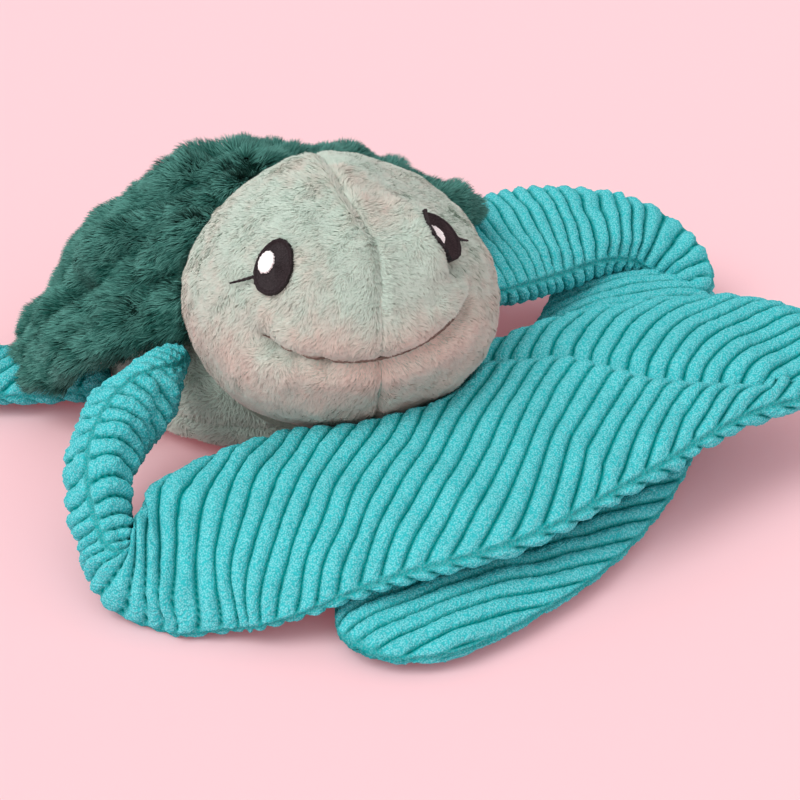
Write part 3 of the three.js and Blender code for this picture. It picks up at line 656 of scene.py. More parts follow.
def build_head(settings):
    backing = backing_material("plush_backing", linear(176, 186, 174), linear(196, 204, 192))
    fibres = sage_fibres("sage_plush_fibres", settings, 0.15)
    turns = np.linspace(0, 2 * math.pi, 240, endpoint=False)
    for sign, name in ((-1, "right"), (1, "left")):
        swings = np.concatenate([np.linspace(0, 80, 90), np.linspace(81, 89.5, 8)])
        swing, turn = np.meshgrid(np.radians(swings), turns, indexing="ij")
        aim = np.stack([
            sign * np.sin(swing), -np.cos(swing) * np.cos(turn), np.cos(swing) * np.sin(turn),
        ], -1).reshape(-1, 3)
        aim[:, 0] += seam_lean(aim) * (1 - np.abs(aim[:, 0]))
        aim = unit(aim)
        skin = on_head(aim, np.full(len(aim), -1.7))
        seam = bump(beyond_seam(aim), 2.0)
        across = unit(skin - HEAD_AT)
        soft = 0.4 * waves(skin, 16, 11) + 0.2 * waves(skin, 6, 12)
        drawn_in = 2.0 - 1.5 * bump(level_of(aim) - 12, 17) * (aim[:, 1] < 0)
        skin = skin + across * (soft - drawn_in * seam)[:, None]
        faces = outward(skin, grid_faces(len(swings), len(turns), True), HEAD_AT)
        normals = normals_of(skin, faces)
        cover = make_piece(f"head_cover_{name}", skin, faces, backing, uv=grid_uv(len(swings), len(turns)))
        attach(cover, "head")
        if sign < 0:
            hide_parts("head_panel_right", "head_filling")
        else:
            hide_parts("head_panel_left")

        roots, up = scatter(skin, faces, normals, settings.strands // 2, 20 + sign)
        rng_seam = np.random.default_rng(30 + sign)
        aim, _ = head_places(roots)
        side, level = side_of(aim), level_of(aim)
        smile = level - smile_level(side)
        bare = eye_share(side, level) < 0.93
        bare |= (np.abs(smile) < 0.8) & (np.abs(side) < 46)
        from_seam = beyond_seam(aim)
        bare |= (np.abs(from_seam) < 0.35) & (rng_seam.random(len(roots)) < 0.7 - 0.7 * bump(level - 12, 17))
        bare |= (aim @ (HEAD_TURN.T @ NAPE_AIM)) > math.cos(math.radians(22))
        shown = (roots, up, side, level, aim, smile, from_seam)
        roots, up, side, level, aim, smile, from_seam = (x[~bare] for x in shown)
        rng = np.random.default_rng(40 + sign)
        # The plush is brushed outwards and down from the bridge of the nose, and back over the top.
        outwards, downwards = np.full(len(roots), 0.75 * sign), np.full(len(roots), -1.0)
        brushed = np.stack([outwards, 0.6 * smooth(0.5, 0.95, aim[:, 2]), downwards], 1)
        lay = flattened(brushed @ HEAD_TURN.T, up)
        swirl, tufts = stray(roots, 9, 50), stray(roots, 3.2, 60)
        lay = unit(lay) + 0.34 * swirl + 0.2 * tufts + rng.normal(0, 0.25, (len(roots), 3))
        # The plush is warmer below the eyes, where the tint is partly its own beige and partly painted pink
        # reflection from the floor, and in a patch over the left eye, where it is painted pink reflection.
        warm_and_bounce = smooth(24, -6, level) * (0.8 + 0.2 * smooth(60, 20, np.abs(side)))
        warm_and_bounce = warm_and_bounce + 0.4 * bump(side - 30, 28) * smooth(36, 60, level)
        warm_and_bounce = 0.08 + 0.8 * warm_and_bounce + 0.1 * waves(roots, 16, 70) + 0.07 * waves(roots, 3, 71)
        near_eye = smooth(1.5, 1.0, eye_share(side, level))
        in_crease = bump(smile, 5) * (np.abs(side) < 50)
        long = settings.pile * 1000 * rng.uniform(0.72, 1.12, len(roots))
        long = long * (1 - 0.35 * near_eye) * (1 - 0.3 * in_crease)
        rise = 60 + 3 * waves(roots, 5, 80)
        # Next to the seam the fibres stand up from the furrow.
        fall = 84 + 2.5 * waves(roots, 4, 81) - 14 * bump(from_seam, 3) * (1 - 0.8 * bump(level - 12, 17))
        pile(f"head_plush_{name}", fibres, "head", roots, up, lay, long, rng.uniform(0.24, 0.38, len(roots)),
             rise, fall, 2, warm_and_bounce + rng.normal(0, 0.07, len(roots)), 90 + sign, "sage_plush")


# Eyes and mouth

def stitched_oval(name, side, level, wide, high, raised, material, border, seed, node_name):
    """An embroidered oval on the head, with its stitches as ridges and a raised rim of satin stitch."""
    rings, spans = 34, 420
    turns = np.linspace(0, 2 * math.pi, spans, endpoint=False)
    share, turn = (x.ravel() for x in np.meshgrid(np.linspace(0.02, 1.0, rings), turns, indexing="ij"))
    flat = np.stack([np.cos(turn), np.sin(turn), np.full_like(turn, seed)], 1)
    ragged = 1 + (0.012 if border else 0.045) * waves(flat, 0.12, seed) * share ** 3
    x, y = share * np.cos(turn) * wide / 2 * ragged, share * np.sin(turn) * high / 2 * ragged
    rim = smooth(0.8, 0.87, share) if border else np.zeros_like(share)
    wander = 0.6 * waves(np.stack([x, y, 0 * x], 1), 2.5, seed + 1)
    rows = 0.5 + 0.5 * np.cos(2 * math.pi * (y + 0.25 * x) / 0.62 + wander)
    spokes = 0.5 + 0.5 * np.cos(turn * round(math.pi * (wide + high) / 2 / 0.7))
    height = raised + 0.22 * (rows * (1 - rim) + spokes * rim)
    height = height + 0.7 * rim * np.sin(np.clip((share - 0.8) / 0.2, 0, 1) * math.pi) ** 0.5
    height -= (2.6 if border else 0.9) * smooth(0.95, 1.0, share) ** 2
    sides = side + head_degrees(x) / math.cos(math.radians(level))
    levels = level + head_degrees(y)
    points = on_head(head_aim(sides, levels), height)
    points = np.vstack([points, on_head(head_aim(np.array([side]), np.array([level])), np.array([raised]))])
    faces = grid_faces(rings, spans, True)
    hub = len(points) - 1
    ring = np.arange(spans)
    faces = np.vstack([faces, np.stack([np.full(spans, hub), (ring + 1) % spans, ring], 1)])
    normal = unit(points[hub] - HEAD_AT)
    faces = outward(points, faces, points[hub] - 40 * normal)
    u, v = (0.5 + 0.49 * np.append(value, 0) / (size / 2 * 1.2) for value, size in ((x, wide), (y, high)))
    piece = make_piece(name, points, faces, material, uv=np.stack([u, v], 1))
    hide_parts(node_name)
    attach(piece, "head")


def thread_along(name, sides, levels, raised, radii, material, node_name, twist):
    """A twisted thread laid along the head's skin, thin at both ends."""
    count, around = len(sides), 16
    middle = on_head(head_aim(sides, levels), raised)
    forward = unit(np.gradient(middle, axis=0))
    out = unit(flattened(unit(middle - HEAD_AT), forward))
    across = np.cross(forward, out)
    travelled = np.concatenate([[0], np.cumsum(np.linalg.norm(np.diff(middle, axis=0), axis=1))])
    turn = np.linspace(0, 2 * math.pi, around, endpoint=False)
    plies = 1 + 0.16 * np.cos(2 * turn[None] + 2 * math.pi * travelled[:, None] / twist)
    radius = radii[:, None] * plies
    points = middle[:, None] + out[:, None] * (radius * np.sin(turn))[..., None]
    points = points + across[:, None] * (radius * np.cos(turn))[..., None]
    points = np.vstack([points.reshape(-1, 3), middle[:1], middle[-1:]])
    faces = grid_faces(count, around, True)
    ring, last_ring = np.arange(around), (count - 1) * around
    first, last = count * around, count * around + 1
    faces = np.vstack([
        faces,
        np.stack([np.full(around, first), (ring + 1) % around, ring], 1),
        np.stack([np.full(around, last), last_ring + ring, last_ring + (ring + 1) % around], 1),
    ])
    if looks_inward(points, faces[:10], middle[0]):
        faces = faces[:, ::-1]
    uv = np.stack([np.repeat(travelled / travelled[-1], around), np.tile(turn / 7, count)], 1)
    piece = make_piece(name, points, faces, material, uv=np.vstack([uv, [[0, 0], [1, 0]]]))
    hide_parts(node_name)
    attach(piece, "head")


def build_eyes(settings):
    black = thread_material("black_thread", tuple(settings.black), linear(48, 42, 45))
    white = thread_material("white_thread", tuple(settings.white), linear(255, 255, 255))
    thread = settings.thread * 1000
    reach = head_degrees(EYE_WIDTH / 2) / math.cos(math.radians(EYE_LEVEL))
    shift = head_degrees(GLINT_SHIFT) / math.cos(math.radians(EYE_LEVEL))
    low = EYE_LEVEL - head_degrees(LASH_DROP)
    long = head_degrees(LASH_LENGTH) / math.cos(math.radians(low))
    for sign, name in ((-1, "right"), (1, "left")):
        middle = sign * EYE_SIDE
        stitched_oval(f"eye_{name}", middle, EYE_LEVEL, EYE_WIDTH, EYE_HEIGHT, 0.9, black,
                      True, 5 + sign, f"eye_patch_{name}")
        stitched_oval(f"glint_{name}", middle + shift, EYE_LEVEL + 1, GLINT_WIDTH, GLINT_HEIGHT, 2.0, white,
                      False, 8 + sign, f"eye_glint_{name}")
        share = np.linspace(0, 1, 40)
        sides = middle + sign * (0.82 * reach + long * share)
        levels = low - 4.6 * share
        radii = thread * (1.15 - 0.45 * share)
        thread_along(f"lash_{name}", sides, levels, np.full(40, 1.2), radii, black,
                     f"lash_stitch_{name}", 2.2)


def build_smile(settings):
    sage = thread_material("sage_thread", linear(98, 82, 74), linear(138, 120, 108))
    sides = np.linspace(-SMILE_REACH, SMILE_REACH, 220)
    ends = 1 - smooth(0.84, 1.0, np.abs(sides) / SMILE_REACH)
    radii = settings.thread * 1000 * (0.35 + 0.85 * ends)
    thread_along("smile", sides, smile_level(sides), np.full(220, -1.2), radii, sage,
                 "smile_stitch", 3)


# Body

def body_point(lift, turn, inset):
    """The body's skin at an angle above or below its seam and an angle round it, moved in by inset."""
    lower = lift < 0
    power = np.where(lower, 0.55, 0.9)
    reach = np.cos(lift) ** power
    rise = np.abs(np.sin(lift)) ** power
    below, above = BODY_SEAM + 0.5 - inset, BODY_SIZE[2] - BODY_SEAM - inset
    height = np.where(lower, BODY_SEAM - rise * below, BODY_SEAM + rise * above)
    return np.stack([
        BODY_AT[0] + reach * (BODY_SIZE[0] / 2 - inset) * np.cos(turn),
        BODY_AT[1] + reach * (BODY_SIZE[1] / 2 - inset) * np.sin(turn),
        height,
    ], -1)


def build_body(settings):
    backing = backing_material("body_backing", linear(166, 180, 168), linear(188, 200, 188))
    fibres = sage_fibres("body_plush_fibres", settings, 0.1)
    panels = (
        ("belly", np.linspace(-89, 0, 60), ("belly_panel", "body_filling", "bead_pouch", "bead_fill")),
        ("back", np.linspace(0, 89, 60), ("back_panel",)),
    )
    for name, lifts, nodes in panels:
        turns = np.linspace(0, 2 * math.pi, 220, endpoint=False)
        lift, turn = (x.ravel() for x in np.meshgrid(np.radians(lifts), turns, indexing="ij"))
        skin = body_point(lift, turn, 2.6)
        soft = 0.6 * waves(skin, 18, 101) + 0.3 * waves(skin, 7, 102)
        seam = bump(skin[:, 2] - BODY_SEAM, 1.6)
        skin = skin + unit(skin - BODY_MIDDLE) * (soft * smooth(2, 8, skin[:, 2]) - 1.2 * seam)[:, None]
        # The chest swells forward under the chin.
        chest = unit(skin - BODY_MIDDLE) @ unit(np.array([-0.62, -0.78, -0.1]))
        swollen = smooth(0.55, 0.98, chest) * smooth(58, 40, skin[:, 2])
        skin = clear_of_nape(skin + np.array([-6.5, -8.0, 0]) * swollen[:, None], NAPE_SEAT + 3)
        skin[:, 2] = np.maximum(skin[:, 2], 0.2)
        faces = outward(skin, grid_faces(len(lifts), len(turns), True), BODY_MIDDLE)
        cover = make_piece(f"{name}_cover", skin, faces, backing, uv=grid_uv(len(lifts), len(turns)))
        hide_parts(*nodes)
        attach(cover, "torso")
        roots, up = scatter(skin, faces, normals_of(skin, faces), 52000, 103)
        from_head = np.linalg.norm(roots - HEAD_AT, axis=1)
        shown = (roots[:, 2] > 4) & (roots[:, 2] < 52) & (from_head > NAPE_SEAT + 3.2)
        roots, up = roots[shown], up[shown]
        rng = np.random.default_rng(104)
        outwards = 0.3 * roots[:, 0] / (BODY_SIZE[0] / 2)
        lay = unit(np.stack([outwards, np.full(len(roots), 0.4), np.full(len(roots), -0.8)], 1))
        lay = lay + 0.4 * stray(roots, 8, 105) + rng.normal(0, 0.35, (len(roots), 3))
        tint = 0.02 + 0.06 * waves(roots, 14, 108) + rng.normal(0, 0.05, len(roots))
        lengths = settings.pile * 1000 * rng.uniform(0.7, 1.1, len(roots))
        widths = rng.uniform(0.4, 0.6, len(roots))
        rise, fall = np.full(len(roots), 42.0), np.full(len(roots), 78.0)
        pile(f"{name}_plush", fibres, "torso", roots, up, lay, lengths, widths, rise, fall, 2, tint, 109,
             "sage_plush")
    build_neck(backing)


def build_neck(backing):
    """The neck's band of gathered cloth."""
    first = unit(np.cross(NAPE_AIM, [1.0, 0, 0]))
    second = np.cross(NAPE_AIM, first)
    turns = np.linspace(0, 2 * math.pi, 180, endpoint=False)
    ring = np.cos(turns)[:, None] * first + np.sin(turns)[:, None] * second
    rows = []
    for angle, radius in NECK_PROFILE + NECK_PROFILE[:1]:
        a = math.radians(angle)
        gathers = 0.5 * np.cos(30 * turns) if radius > 65 else 0 * turns
        ways = math.cos(a) * NAPE_AIM + math.sin(a) * ring
        rows.append(HEAD_AT + ways * (radius + gathers)[:, None])
    points = np.vstack(rows)
    faces = outward(points, grid_faces(len(rows), len(turns), True), HEAD_AT + NAPE_AIM * 60)
    band = make_piece("neck_collar", points, faces, backing, uv=grid_uv(len(rows), len(turns)))
    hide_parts("neck_band")
    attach(band, "neck")


# Shell

def scallop_groove(x, y):
    """How deep a place lies in the grooves between the shell's rows of tufts, 1 at the bottom."""
    phase = (y - 0.5 * np.abs(x)) / RIDGE_PITCH - 0.3
    return 1 - np.abs(np.sin(math.pi * phase)) ** 0.7


def shell_point(reach, turn, inset, scallop):
    """The dome at a share of the way out to its rim and an angle round it, moved in by inset."""
    forward = np.maximum(0, -np.sin(turn))
    leftward = np.maximum(0, np.cos(turn))
    rim = 24 + 60 * forward ** 1.2 + 36 * leftward
    rise = 1 - reach ** 2.1
    # The edge is pulled in near the right shoulder.
    reach = reach * (1 - 0.06 * bump(np.degrees(turn) - 226, 20) * smooth(0.6, 1, reach))
    place = np.stack([
        reach * (SHELL_SIZE[0] / 2 - inset) * np.cos(turn),
        reach * (SHELL_SIZE[1] / 2 - inset) * np.sin(turn),
        rim + rise * (SHELL_SIZE[2] - rim - inset),
    ], -1)
    groove = scallop_groove(place[:, 0], place[:, 1])
    upwards = np.full(len(place), 0.5)
    way = unit(np.stack([place[:, 0] / SHELL_SIZE[0], place[:, 1] / SHELL_SIZE[1], upwards], 1))
    return place - way * (scallop * groove)[:, None] + np.array([*SHELL_AT, 0])


def swell(points):
    """How far the stuffing pushes the shell out at each place."""
    total = np.zeros(len(points))
    for x, y, z, wide, high in SHELL_PUFFS:
        total += high * bump(np.linalg.norm(points - np.array([x, y, z]), axis=1), wide)
    nearest = np.full(len(points), 1e9)
    for a, b in zip(SHELL_FURROW[:-1], SHELL_FURROW[1:]):
        share = np.clip(((points - a) @ (b - a)) / ((b - a) @ (b - a)), 0, 1)
        nearest = np.minimum(nearest, np.linalg.norm(points - a - share[:, None] * (b - a), axis=1))
    return total - 6.5 * bump(nearest, 7.5)


def build_shell(settings):
    backing = backing_material("shell_backing", linear(14, 46, 40), linear(28, 72, 62))
    fibres = fibre_material(
        "green_pile_fibres",
        [(0.1, tuple(settings.painted_shade_tip)), (0.9, tuple(settings.tip))],
        [(0.1, tuple(settings.root)),
         (0.9, tuple(0.7 * r + 0.3 * t for r, t in zip(settings.root, settings.painted_shade_tip)))],
        0.0, 0.03,
    )
    turns = np.linspace(0, 2 * math.pi, SHELL_SPANS, endpoint=False)
    outer = np.sin(np.linspace(0.01, math.pi / 2, 110))
    rows = []
    for reach in outer:
        scallop = np.full(SHELL_SPANS, 10.0 * smooth(0.02, 0.2, reach))
        rows.append(shell_point(np.full(SHELL_SPANS, reach), turns, 4.5, scallop))
    # The rim turns under, and the lining follows the dome inside.
    edge = rows[-1]
    inwards = unit(np.stack([edge[:, 0] - SHELL_AT[0], edge[:, 1] - SHELL_AT[1], 0 * turns], 1))
    for angle in np.radians(np.linspace(20, 180, 9)):
        under = 3.2 * math.sin(angle) + 3 * (1 - math.cos(angle)) / 2
        rows.append(edge - inwards * (3.2 * (1 - math.cos(angle))) - np.array([0, 0, 1]) * under)
    for reach in outer[::-1][4::4]:
        rows.append(shell_point(np.full(SHELL_SPANS, reach), turns, 16, np.zeros(SHELL_SPANS)))
    points = np.vstack(rows)
    soft = 1.1 * waves(points, 12, 201) + 0.6 * waves(points, 6, 202)
    points = points + unit(points - np.array([*SHELL_AT, 20.0])) * (soft + swell(points))[:, None]
    points = clear_of_nape(points, NAPE_SEAT + 1)
    faces = grid_faces(len(rows), SHELL_SPANS, True)
    shown = grid_faces(len(outer) + 6, SHELL_SPANS, True)
    if looks_inward(points, shown, np.array([*SHELL_AT, 40.0])):
        faces, shown = faces[:, ::-1], shown[:, ::-1]
    cover = make_piece("shell_cloth", points, faces, backing, uv=grid_uv(len(rows), SHELL_SPANS))
    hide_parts("shell_cover", "shell_padding")
    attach(cover, "torso")

    roots, up = scatter(points, shown, normals_of(points, shown), settings.strands, 203)
    rng = np.random.default_rng(204)
    out = unit(np.stack([roots[:, 0], roots[:, 1] - SHELL_AT[1], 0 * roots[:, 0]], 1))
    swollen = swell(roots)
    # Fibres in the grooves between the rows of tufts and in the sunken places get darker tips, painted shade,
    # and fibres on the puffs get lighter tips, painted light.
    depth = 0.8 * scallop_groove(roots[:, 0], roots[:, 1] - SHELL_AT[1])
    depth = np.clip(depth - 0.07 * swollen * (swollen < 0) - 0.05 * swollen * (swollen > 0), 0, 1)
    back = np.stack([0.25 * np.sign(roots[:, 0]), np.full(len(roots), 0.5), np.full(len(roots), -0.35)], 1)
    lay = flattened(unit(0.8 * out + back), up)
    clump = stray(roots, 7, 205) + 0.9 * stray(roots, 3.2, 215)
    lay = lay + 0.13 * clump + rng.normal(0, 0.2, (len(roots), 3))
    lengths = settings.pile * 1000 * rng.uniform(0.7, 1.1, len(roots)) * (1 - 0.2 * depth)
    rise = 24 + 5 * waves(roots, 5, 221)
    fall = 68 + 6 * waves(roots, 4.5, 222)
    # The depth darkens the tips here, painted shade.
    tint = 0.72 - 0.62 * depth + 0.12 * waves(roots, 9, 223) + 0.1 * waves(roots, 3, 224)
    tint = tint + rng.normal(-0.06, 0.2, len(roots))
    widths = rng.uniform(0.24, 0.4, len(roots))
    right, front = roots[:, 0] < 0, roots[:, 1] < SHELL_AT[1]
    for name, part in (
        ("right_front", right & front), ("right_back", right & ~front),
        ("left_front", ~right & front), ("left_back", ~right & ~front),
    ):
        pile(f"shell_pile_{name}", fibres, "torso", roots[part], up[part], lay[part], lengths[part],
             widths[part], rise[part], fall[part], 3, tint[part], 230, "green_pile")


# Flippers

def through(values, share):
    """A smooth curve through evenly spaced values, at shares from 0 to 1 of its length."""
    values = np.asarray(values, float)
    place = share * (len(values) - 1)
    i = np.minimum(place.astype(int), len(values) - 2)
    t = place - i
    p0, p1 = values[np.maximum(i - 1, 0)], values[i]
    p2, p3 = values[i + 1], values[np.minimum(i + 2, len(values) - 1)]
    v0, v1 = (p2 - p0) / 2, (p3 - p1) / 2
    return (2 * p1 - 2 * p2 + v0 + v1) * t ** 3 + (-3 * p1 + 3 * p2 - 2 * v0 - v1) * t ** 2 + v0 * t + p1


def middle_line(stations, share):
    """The flipper's middle line, a curve that spaces its bends by the distance between stations."""
    points = np.array([s[:3] for s in stations], float)
    padded = np.vstack([2 * points[0] - points[1], points, 2 * points[-1] - points[-2]])
    place = share * (len(points) - 1)
    i = np.minimum(place.astype(int), len(points) - 2)
    t = (place - i)[:, None]
    p0, p1, p2, p3 = padded[i], padded[i + 1], padded[i + 2], padded[i + 3]
    d0, d1, d2 = (np.sqrt(np.linalg.norm(b - a, axis=1))[:, None] for a, b in ((p0, p1), (p1, p2), (p2, p3)))
    t1 = ((p1 - p0) / d0 - (p2 - p0) / (d0 + d1) + (p2 - p1) / d1) * d1
    t2 = ((p2 - p1) / d1 - (p3 - p1) / (d1 + d2) + (p3 - p2) / d2) * d1
    return p1 + t1 * t + (-3 * p1 + 3 * p2 - 2 * t1 - t2) * t ** 2 + (2 * p1 - 2 * p2 + t1 + t2) * t ** 3


def past_blade_fold(points):
    """Distance beyond the fold across the right blade, below 0 on its near half."""
    flat = points[:, :2]
    best = np.full(len(flat), 1e9)
    for a, b in zip(BLADE_FOLD[:-1], BLADE_FOLD[1:]):
        way = b - a
        t = np.clip(((flat - a) @ way) / (way @ way), 0, 1)
        apart = flat - a - t[:, None] * way
        side = np.sign(way[0] * apart[:, 1] - way[1] * apart[:, 0])
        gap = np.linalg.norm(apart, axis=1)
        best = np.where(gap < np.abs(best), gap * side, best)
    return best


def fold_sink(points):
    """How far the top of the right blade sinks along its fold."""
    past = past_blade_fold(points)
    return -4.5 * bump(past, 5) + 1.6 * bump(past + 9, 6)


def fold_drift(points):
    """How far the ribs of the near half swing round where they come up to the fold."""
    return 20 * (1 - np.exp(np.minimum(past_blade_fold(points), 0) / 40))


def flipper_panels(name, stations, start_round, end_round, far, settings, material, seed,
                   shape=None, seams=None, crumple=None, gather=None, drift=None):
    """The two ribbed panels of a flipper. far is the sign of the side where the ribs run forward.

    The last five are functions. Those of the points are shape, which moves the skin, and drift,
    which moves the ribs. Those of the share of the length are seams, which places the seams,
    crumple, which creases the cloth, and gather, which crowds the ribs.
    """
    dense = np.linspace(0, 1, 3000)
    line = middle_line(stations, dense)
    travelled = np.concatenate([[0], np.cumsum(np.linalg.norm(np.diff(line, axis=0), axis=1))])
    total = travelled[-1]
    caps = []
    for reach in (start_round, end_round):
        # Starts just off 0, so that the last ring is a point to the eye and the end is closed.
        psi = np.linspace(0.012, math.pi / 2, max(8, int(reach * 1.4)))
        caps.append(reach * (1 - np.cos(psi)))
    inner = np.linspace(start_round, total - end_round, int((total - start_round - end_round) / SKIN_STEP))
    at = np.concatenate([caps[0][:-1], inner, (total - caps[1])[:-1][::-1]])
    share = np.interp(at, travelled, dense)
    forward_all = unit(np.gradient(line, axis=0))
    middle = np.stack([np.interp(share, dense, line[:, k]) for k in range(3)], 1)
    forward = unit(np.stack([np.interp(share, dense, forward_all[:, k]) for k in range(3)], 1))
    wide, thick, roll, lean = (through([s[k] for s in stations], share) for k in (3, 4, 5, 6))
    flat = unit(np.cross(forward, [0, 0, 1.0]))
    up0 = np.cross(flat, forward)
    roll = np.radians(roll)[:, None]
    side = flat * np.cos(roll) - up0 * np.sin(roll)
    up = up0 * np.cos(roll) + flat * np.sin(roll)
    rounding = np.sqrt(1 - (1 - np.minimum(1, at / start_round)) ** 2)
    rounding = rounding * np.sqrt(1 - (1 - np.minimum(1, (total - at) / end_round)) ** 2)
    pitch, depth = settings.pitch * 1000, settings.depth * 1000
    lean = np.radians(lean)
    rate = np.cos(lean) * (gather(at / total) if gather else 1)
    progress = np.concatenate([[0], np.cumsum(np.diff(at) * (rate[1:] + rate[:-1]) / 2)])
    widest = max(s[3] for s in stations)
    columns = int(2.25 * widest / SKIN_STEP)
    made = []
    # How far each seam lies up on the top of the flipper, in degrees round its section
    near_seam, far_seam = np.radians(seams(at / total) if seams else (0 * at, 0 * at))
    for half, label in ((1, "top"), (-1, "bottom")):
        ends = (near_seam, math.pi - far_seam) if half > 0 else (near_seam, -math.pi - far_seam)
        part = np.linspace(0, 1, columns)[None]
        phi = ends[0][:, None] * (1 - part) + ends[1][:, None] * part
        across = np.cos(phi) * (wide * rounding)[:, None]
        lift = np.sin(phi) * (thick * rounding)[:, None]
        base = middle[:, None] + side[:, None] * across[..., None] + up[:, None] * lift[..., None]
        steps = np.hypot(np.diff(across, axis=1), np.diff(lift, axis=1))
        arc = np.concatenate([np.zeros((len(at), 1)), np.cumsum(steps, 1)], 1)
        half_way = arc[:, -1:] / 2
        from_middle = (arc - half_way) * far
        from_edge = np.minimum(arc, arc[:, -1:] - arc)
        points = base.reshape(-1, 3)
        if shape:
            points = shape(points, half, from_edge.ravel())
        faces = grid_faces(len(at), columns)
        ahead = np.gradient(points.reshape(len(at), columns, 3), axis=0)
        over = np.gradient(points.reshape(len(at), columns, 3), axis=1)
        normals = unit(np.cross(ahead, over).reshape(-1, 3))
        centre = np.repeat(middle, columns, 0)
        if ((points - centre) * normals).sum() < 0:
            normals = -normals
        phase = (progress[:, None] - from_middle * np.sin(lean)[:, None]).ravel() / pitch
        if drift and half > 0:
            phase = phase + drift(points) / pitch
        creased = crumple(np.repeat(at / total, columns)) if crumple else 0
        phase = phase + (0.05 + 0.05 * creased) * waves(points, 22, seed)
        share_rib = np.abs(2 * (phase % 1) - 1)
        rib = 1 - share_rib ** 2.3
        edge = from_edge.ravel()
        to_end = np.repeat(np.minimum(at, total - at), columns)
        fade = smooth(0.3, 3.6, edge) * smooth(0, 6, to_end)
        size = depth * (1 + 0.4 * creased + 0.1 * waves(points, 10, seed + 1))
        raised = 0.5 - size * (1 - rib) * fade - 1.3 * bump(edge, 1.4) * smooth(0, 12, to_end)
        nap = 0.16 * waves(points, 1.0, seed + 2, 26) + 0.12 * waves(points, 2.4, seed + 3)
        nap = nap + np.random.default_rng(seed + 6).normal(0, 0.05, len(points))
        soft = 0.5 * waves(points, 16, seed + 4) + 0.7 * creased * waves(points, 9, seed + 5)
        points = points + normals * (raised + nap + soft * smooth(2, 9, edge))[:, None]
        points = clear_of_head(points, 1.2)
        points[:, 2] = np.maximum(points[:, 2], 0.15)
        # The bottom panel's grain starts 500 mm on, so that the two don't match along the seams.
        start = 0 if half > 0 else 500
        cloth = np.stack([np.repeat(at, columns), arc.ravel() + start, np.zeros(len(points))], 1)
        uv = np.stack([np.repeat(at / total, columns), np.tile(part[0], len(at))], 1)
        tone = np.clip(rib * fade + (1 - fade) * 0.35, 0, 1)
        if (face_normals(points, faces) * normals[faces[:, 0]]).sum() < 0:
            faces = faces[:, ::-1]
        panel = make_piece(f"{name}_{label}", points, faces, material, uv=uv, rib=tone, cloth=cloth)
        made.append(panel)
    return made


def stand_for(panels, *flippers):
    """Hides the top panels, fillings and bottom panels of these flippers."""
    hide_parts(*[f"{f}_{part}" for f in flippers for part in ("top", "filling")])
    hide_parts(*[f"{f}_bottom" for f in flippers])


def corduroy(settings):
    return bpy.data.materials.get("ribbed_corduroy") or corduroy_material(settings)


def build_right_front(settings):
    def shape(points, half, edge):
        if half > 0:
            points = points + np.array([0, 0, 1.0]) * (fold_sink(points) * smooth(1, 14, edge))[:, None]
        return clear_of_head(points, 1.5)

    def seams(share):
        near = 16 * smooth(0.38, 0.5, share) - 12 * smooth(0.9, 1, share)
        return np.stack([near, 38 * smooth(0.02, 0.1, share) * smooth(0.34, 0.26, share)])

    def crumple(share):
        return smooth(0.03, 0.08, share) * smooth(0.4, 0.32, share)

    def gather(share):
        return 1 + bump(share - 0.283, 0.03)

    panels = flipper_panels(
        "right_front_flipper", RIGHT_ARM, 7, 30, 1, settings, corduroy(settings), 300,
        shape, seams, crumple, gather, fold_drift,
    )
    stand_for(panels, "right_upper_flipper", "right_blade")
    for panel in panels:
        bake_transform(panel)


def build_left_front(settings):
    def seams(share):
        return np.stack([24 * smooth(0.06, 0.2, share) * smooth(0.98, 0.86, share), 0 * share])

    def crumple(share):
        return smooth(0.35, 0.75, share)

    cloth = corduroy(settings)
    upper = flipper_panels(
        "left_front_upper", LEFT_UPPER, 9, 9, -1, settings, cloth, 340, None, seams, crumple,
    )
    stand_for(upper, "left_upper_flipper")
    for panel in upper:
        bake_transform(panel)
    blade = flipper_panels("left_front_blade", LEFT_BLADE, 33, 30, -1, settings, cloth, 350)
    stand_for(blade, "left_blade")
    for panel in blade:
        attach(panel, "left_blade")


def build_rear(settings):
    for name, stations, far in (("right_rear", RIGHT_REAR, 1), ("left_rear", LEFT_REAR, -1)):
        panels = flipper_panels(
            f"{name}_flipper_cloth", stations, 9, 18, far, settings, corduroy(settings), 380,
        )
        stand_for(panels, f"{name}_flipper")
        for panel in panels:
            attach(panel, f"{name}_flipper")


# Stage

def join(tree, *links):
    for output, place in links:
        tree.links.new(output, place)


def build_floor(settings):
    bpy.ops.mesh.primitive_plane_add(size=30, location=(0, 0, 0))
    floor = bpy.context.object
    floor.name = "floor"
    material, tree, shader = finish_material("floor_paper", 1.0)
    shader.inputs["Specular IOR Level"].default_value = 0.0
    shader.inputs["Base Color"].default_value = tuple(settings.floor)
    # The camera alone sees a little warm light in the paper, so that shadows on it stay pink.
    paper = node(tree, "ShaderNodeBsdfDiffuse", Color=linear(234, 205, 210))
    warm_and_bounce = node(tree, "ShaderNodeEmission", Color=(1.0, 0.15, 0.18, 1), Strength=0.16)
    both = tree.nodes.new("ShaderNodeAddShader")
    by_ray = tree.nodes.new("ShaderNodeMixShader")
    rays = tree.nodes.new("ShaderNodeLightPath")
    join(
        tree,
        (paper.outputs["BSDF"], both.inputs[0]),
        (warm_and_bounce.outputs["Emission"], both.inputs[1]),
        (rays.outputs["Is Camera Ray"], by_ray.inputs["Fac"]),
        (shader.outputs["BSDF"], by_ray.inputs[1]),
        (both.outputs["Shader"], by_ray.inputs[2]),
        (by_ray.outputs["Shader"], tree.nodes["Material Output"].inputs["Surface"]),
    )
    floor.data.materials.append(material)


